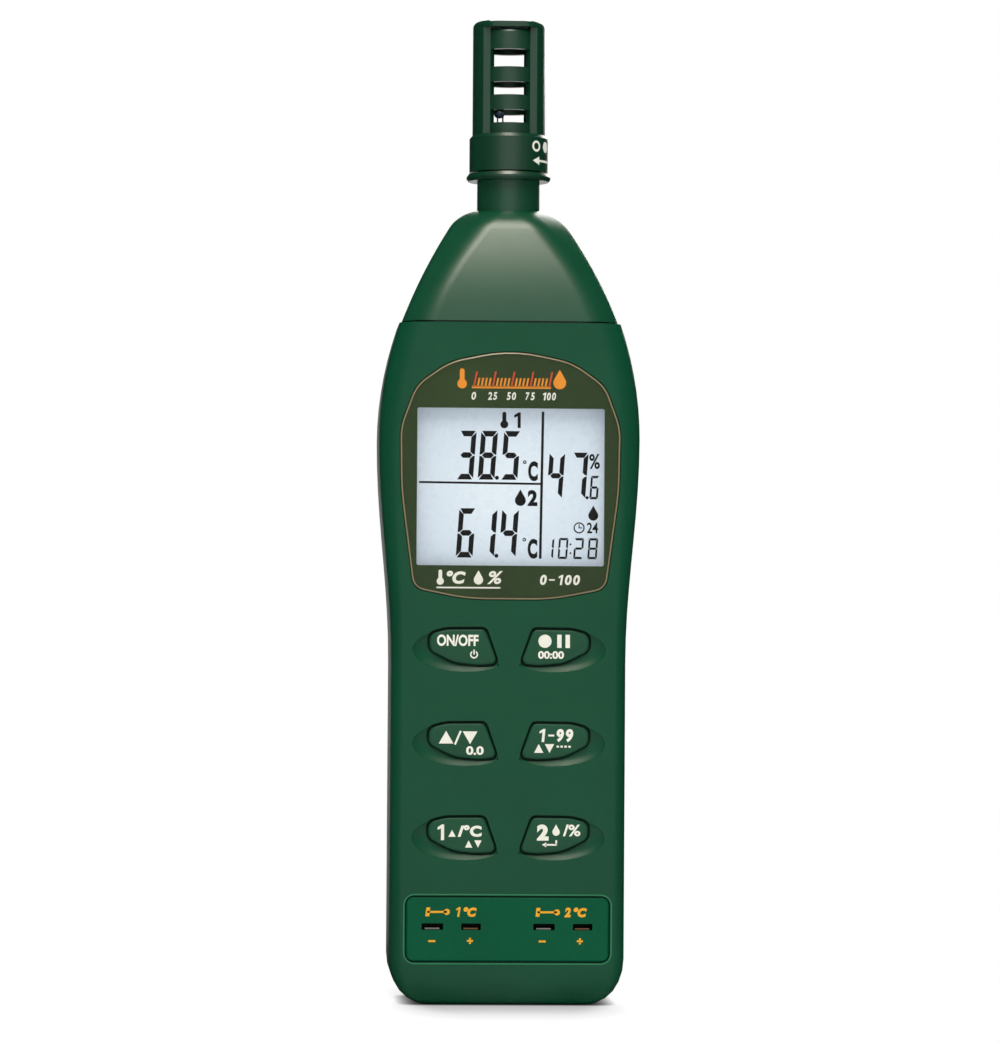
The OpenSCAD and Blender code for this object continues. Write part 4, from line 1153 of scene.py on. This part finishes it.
def room(tree, direction, wall):
    """Brightness of the room along Y: a pale wall in front, dark sides and the white backdrop behind."""
    unit = tree.nodes.new("ShaderNodeVectorMath")
    unit.operation = "NORMALIZE"
    tree.links.new(direction, unit.inputs[0])
    along = axes_of(tree, unit.outputs["Vector"])["Y"]
    place = times(tree, math_node(tree, "ADD", along, 1), 0.5)
    stops = ((0, wall), (0.03, wall), (0.09, 0.25 * wall), (0.2, 0.2 * wall), (0.3, ROOM_DARK),
             (0.975, ROOM_DARK), (1, 1))
    return ramp(tree, place, [(at, grey(level)) for at, level in stops])


world = bpy.data.worlds.new("studio")
scene.world = world
world.use_nodes = True
sky = world.node_tree
direction = sky.nodes.new("ShaderNodeTexCoord").outputs["Generated"]
reflected = times(sky, mirrored(sky), room(sky, direction, WALL_IN_OBJECT))
lit = spread(sky, mirrored(sky), AMBIENT, 0)
backdrop = sky.nodes["Background"].inputs
backdrop["Color"].default_value = (1, 1, 1, 1)
sky.links.new(either(sky, either(sky, seen(sky), lit), reflected), backdrop["Strength"])


# Floor: white to the camera but for a soft shadow painted round the object's foot, and shade painted where it
# stands

# Half size of the foot and reach of the shadow round it, in X and Y, in millimetres
FOOT_HALF = (16.5, 9.0)
SHADOW_REACH = (7.0, 50.0)
# Width of the shadow and of its soft edge at the far end, as shares of those at the foot
SHADOW_NARROW, SHADOW_SOFT = 0.35, 3
# Share of the shadow's reach, and the floor's brightness there
SHADOW = ((0, 0.42), (0.35, 0.58), (0.7, 0.86), (1, 1))
# Width of the painted contact shade where the object stands, in millimetres
CONTACT_SHADE = 2.5

bpy.ops.mesh.primitive_plane_add(size=6, location=(0, 0, 0))
floor = bpy.context.object
floor.name = "floor"
made, tree, shader = new_material("floor")
shader.inputs["Base Color"].default_value = (*grey(0.93), 1)
shader.inputs["Roughness"].default_value = 0.9
place = axes_of(tree, place_of(tree))


def outside(axis, half, reach):
    """How far a point of the floor lies outside the foot along an axis, as a share of the shadow's reach."""
    far = math_node(tree, "SUBTRACT", math_node(tree, "ABSOLUTE", place[axis]), half)
    return math_node(tree, "DIVIDE", math_node(tree, "MAXIMUM", far, 0), reach)


# The painted shadow: darker the nearer a point of the floor lies to the foot
along = outside("Y", FOOT_HALF[1] * MM, SHADOW_REACH[1] * MM)
narrowed = spread(tree, along, FOOT_HALF[0] * MM, SHADOW_NARROW * FOOT_HALF[0] * MM)
softened = spread(tree, along, SHADOW_REACH[0] * MM, SHADOW_SOFT * SHADOW_REACH[0] * MM)
across = outside("X", narrowed, softened)
squares = [math_node(tree, "POWER", share, 2) for share in (across, along)]
apart = math_node(tree, "SQRT", math_node(tree, "ADD", *squares))
soft = ramp(tree, apart, [(at, grey(level)) for at, level in SHADOW])
# Painted contact shade: the floor darkens where the object comes near it
near = tree.nodes.new("ShaderNodeAmbientOcclusion")
near.inputs["Distance"].default_value = CONTACT_SHADE * MM
near.samples = 16
tree.links.new(soft, near.inputs["Color"])
white = tree.nodes.new("ShaderNodeEmission")
tree.links.new(near.outputs["Color"], white.inputs["Color"])
level = either(tree, seen(tree), times(tree, mirrored(tree), room(tree, place_of(tree), WALL_IN_FLOOR)))
tree.links.new(level, white.inputs["Strength"])
mix_surface(tree, either(tree, seen(tree), mirrored(tree)), shader.outputs["BSDF"], white.outputs["Emission"])
floor.data.materials.append(made)


# Camera

def place_camera():
    """The camera that took the photograph."""
    data = bpy.data.cameras.new("camera")
    data.sensor_fit = "HORIZONTAL"
    data.sensor_width = SENSOR_MM
    data.lens = FOCAL_PX / IMAGE_W * SENSOR_MM
    data.clip_start = 0.01
    data.clip_end = 20
    camera = bpy.data.objects.new("camera", data)
    scene.collection.objects.link(camera)
    upright = Matrix.Rotation(math.radians(90 + PITCH), 4, "X")
    turned = Matrix.Rotation(-math.radians(YAW), 4, "Z")
    rolled = Matrix.Rotation(math.radians(ROLL), 4, "Z")
    camera.matrix_world = Matrix.Translation(Vector(CAMERA_PLACE) * MM) @ turned @ upright @ rolled
    scene.camera = camera


place_camera()
scene.view_settings.view_transform = "Standard"
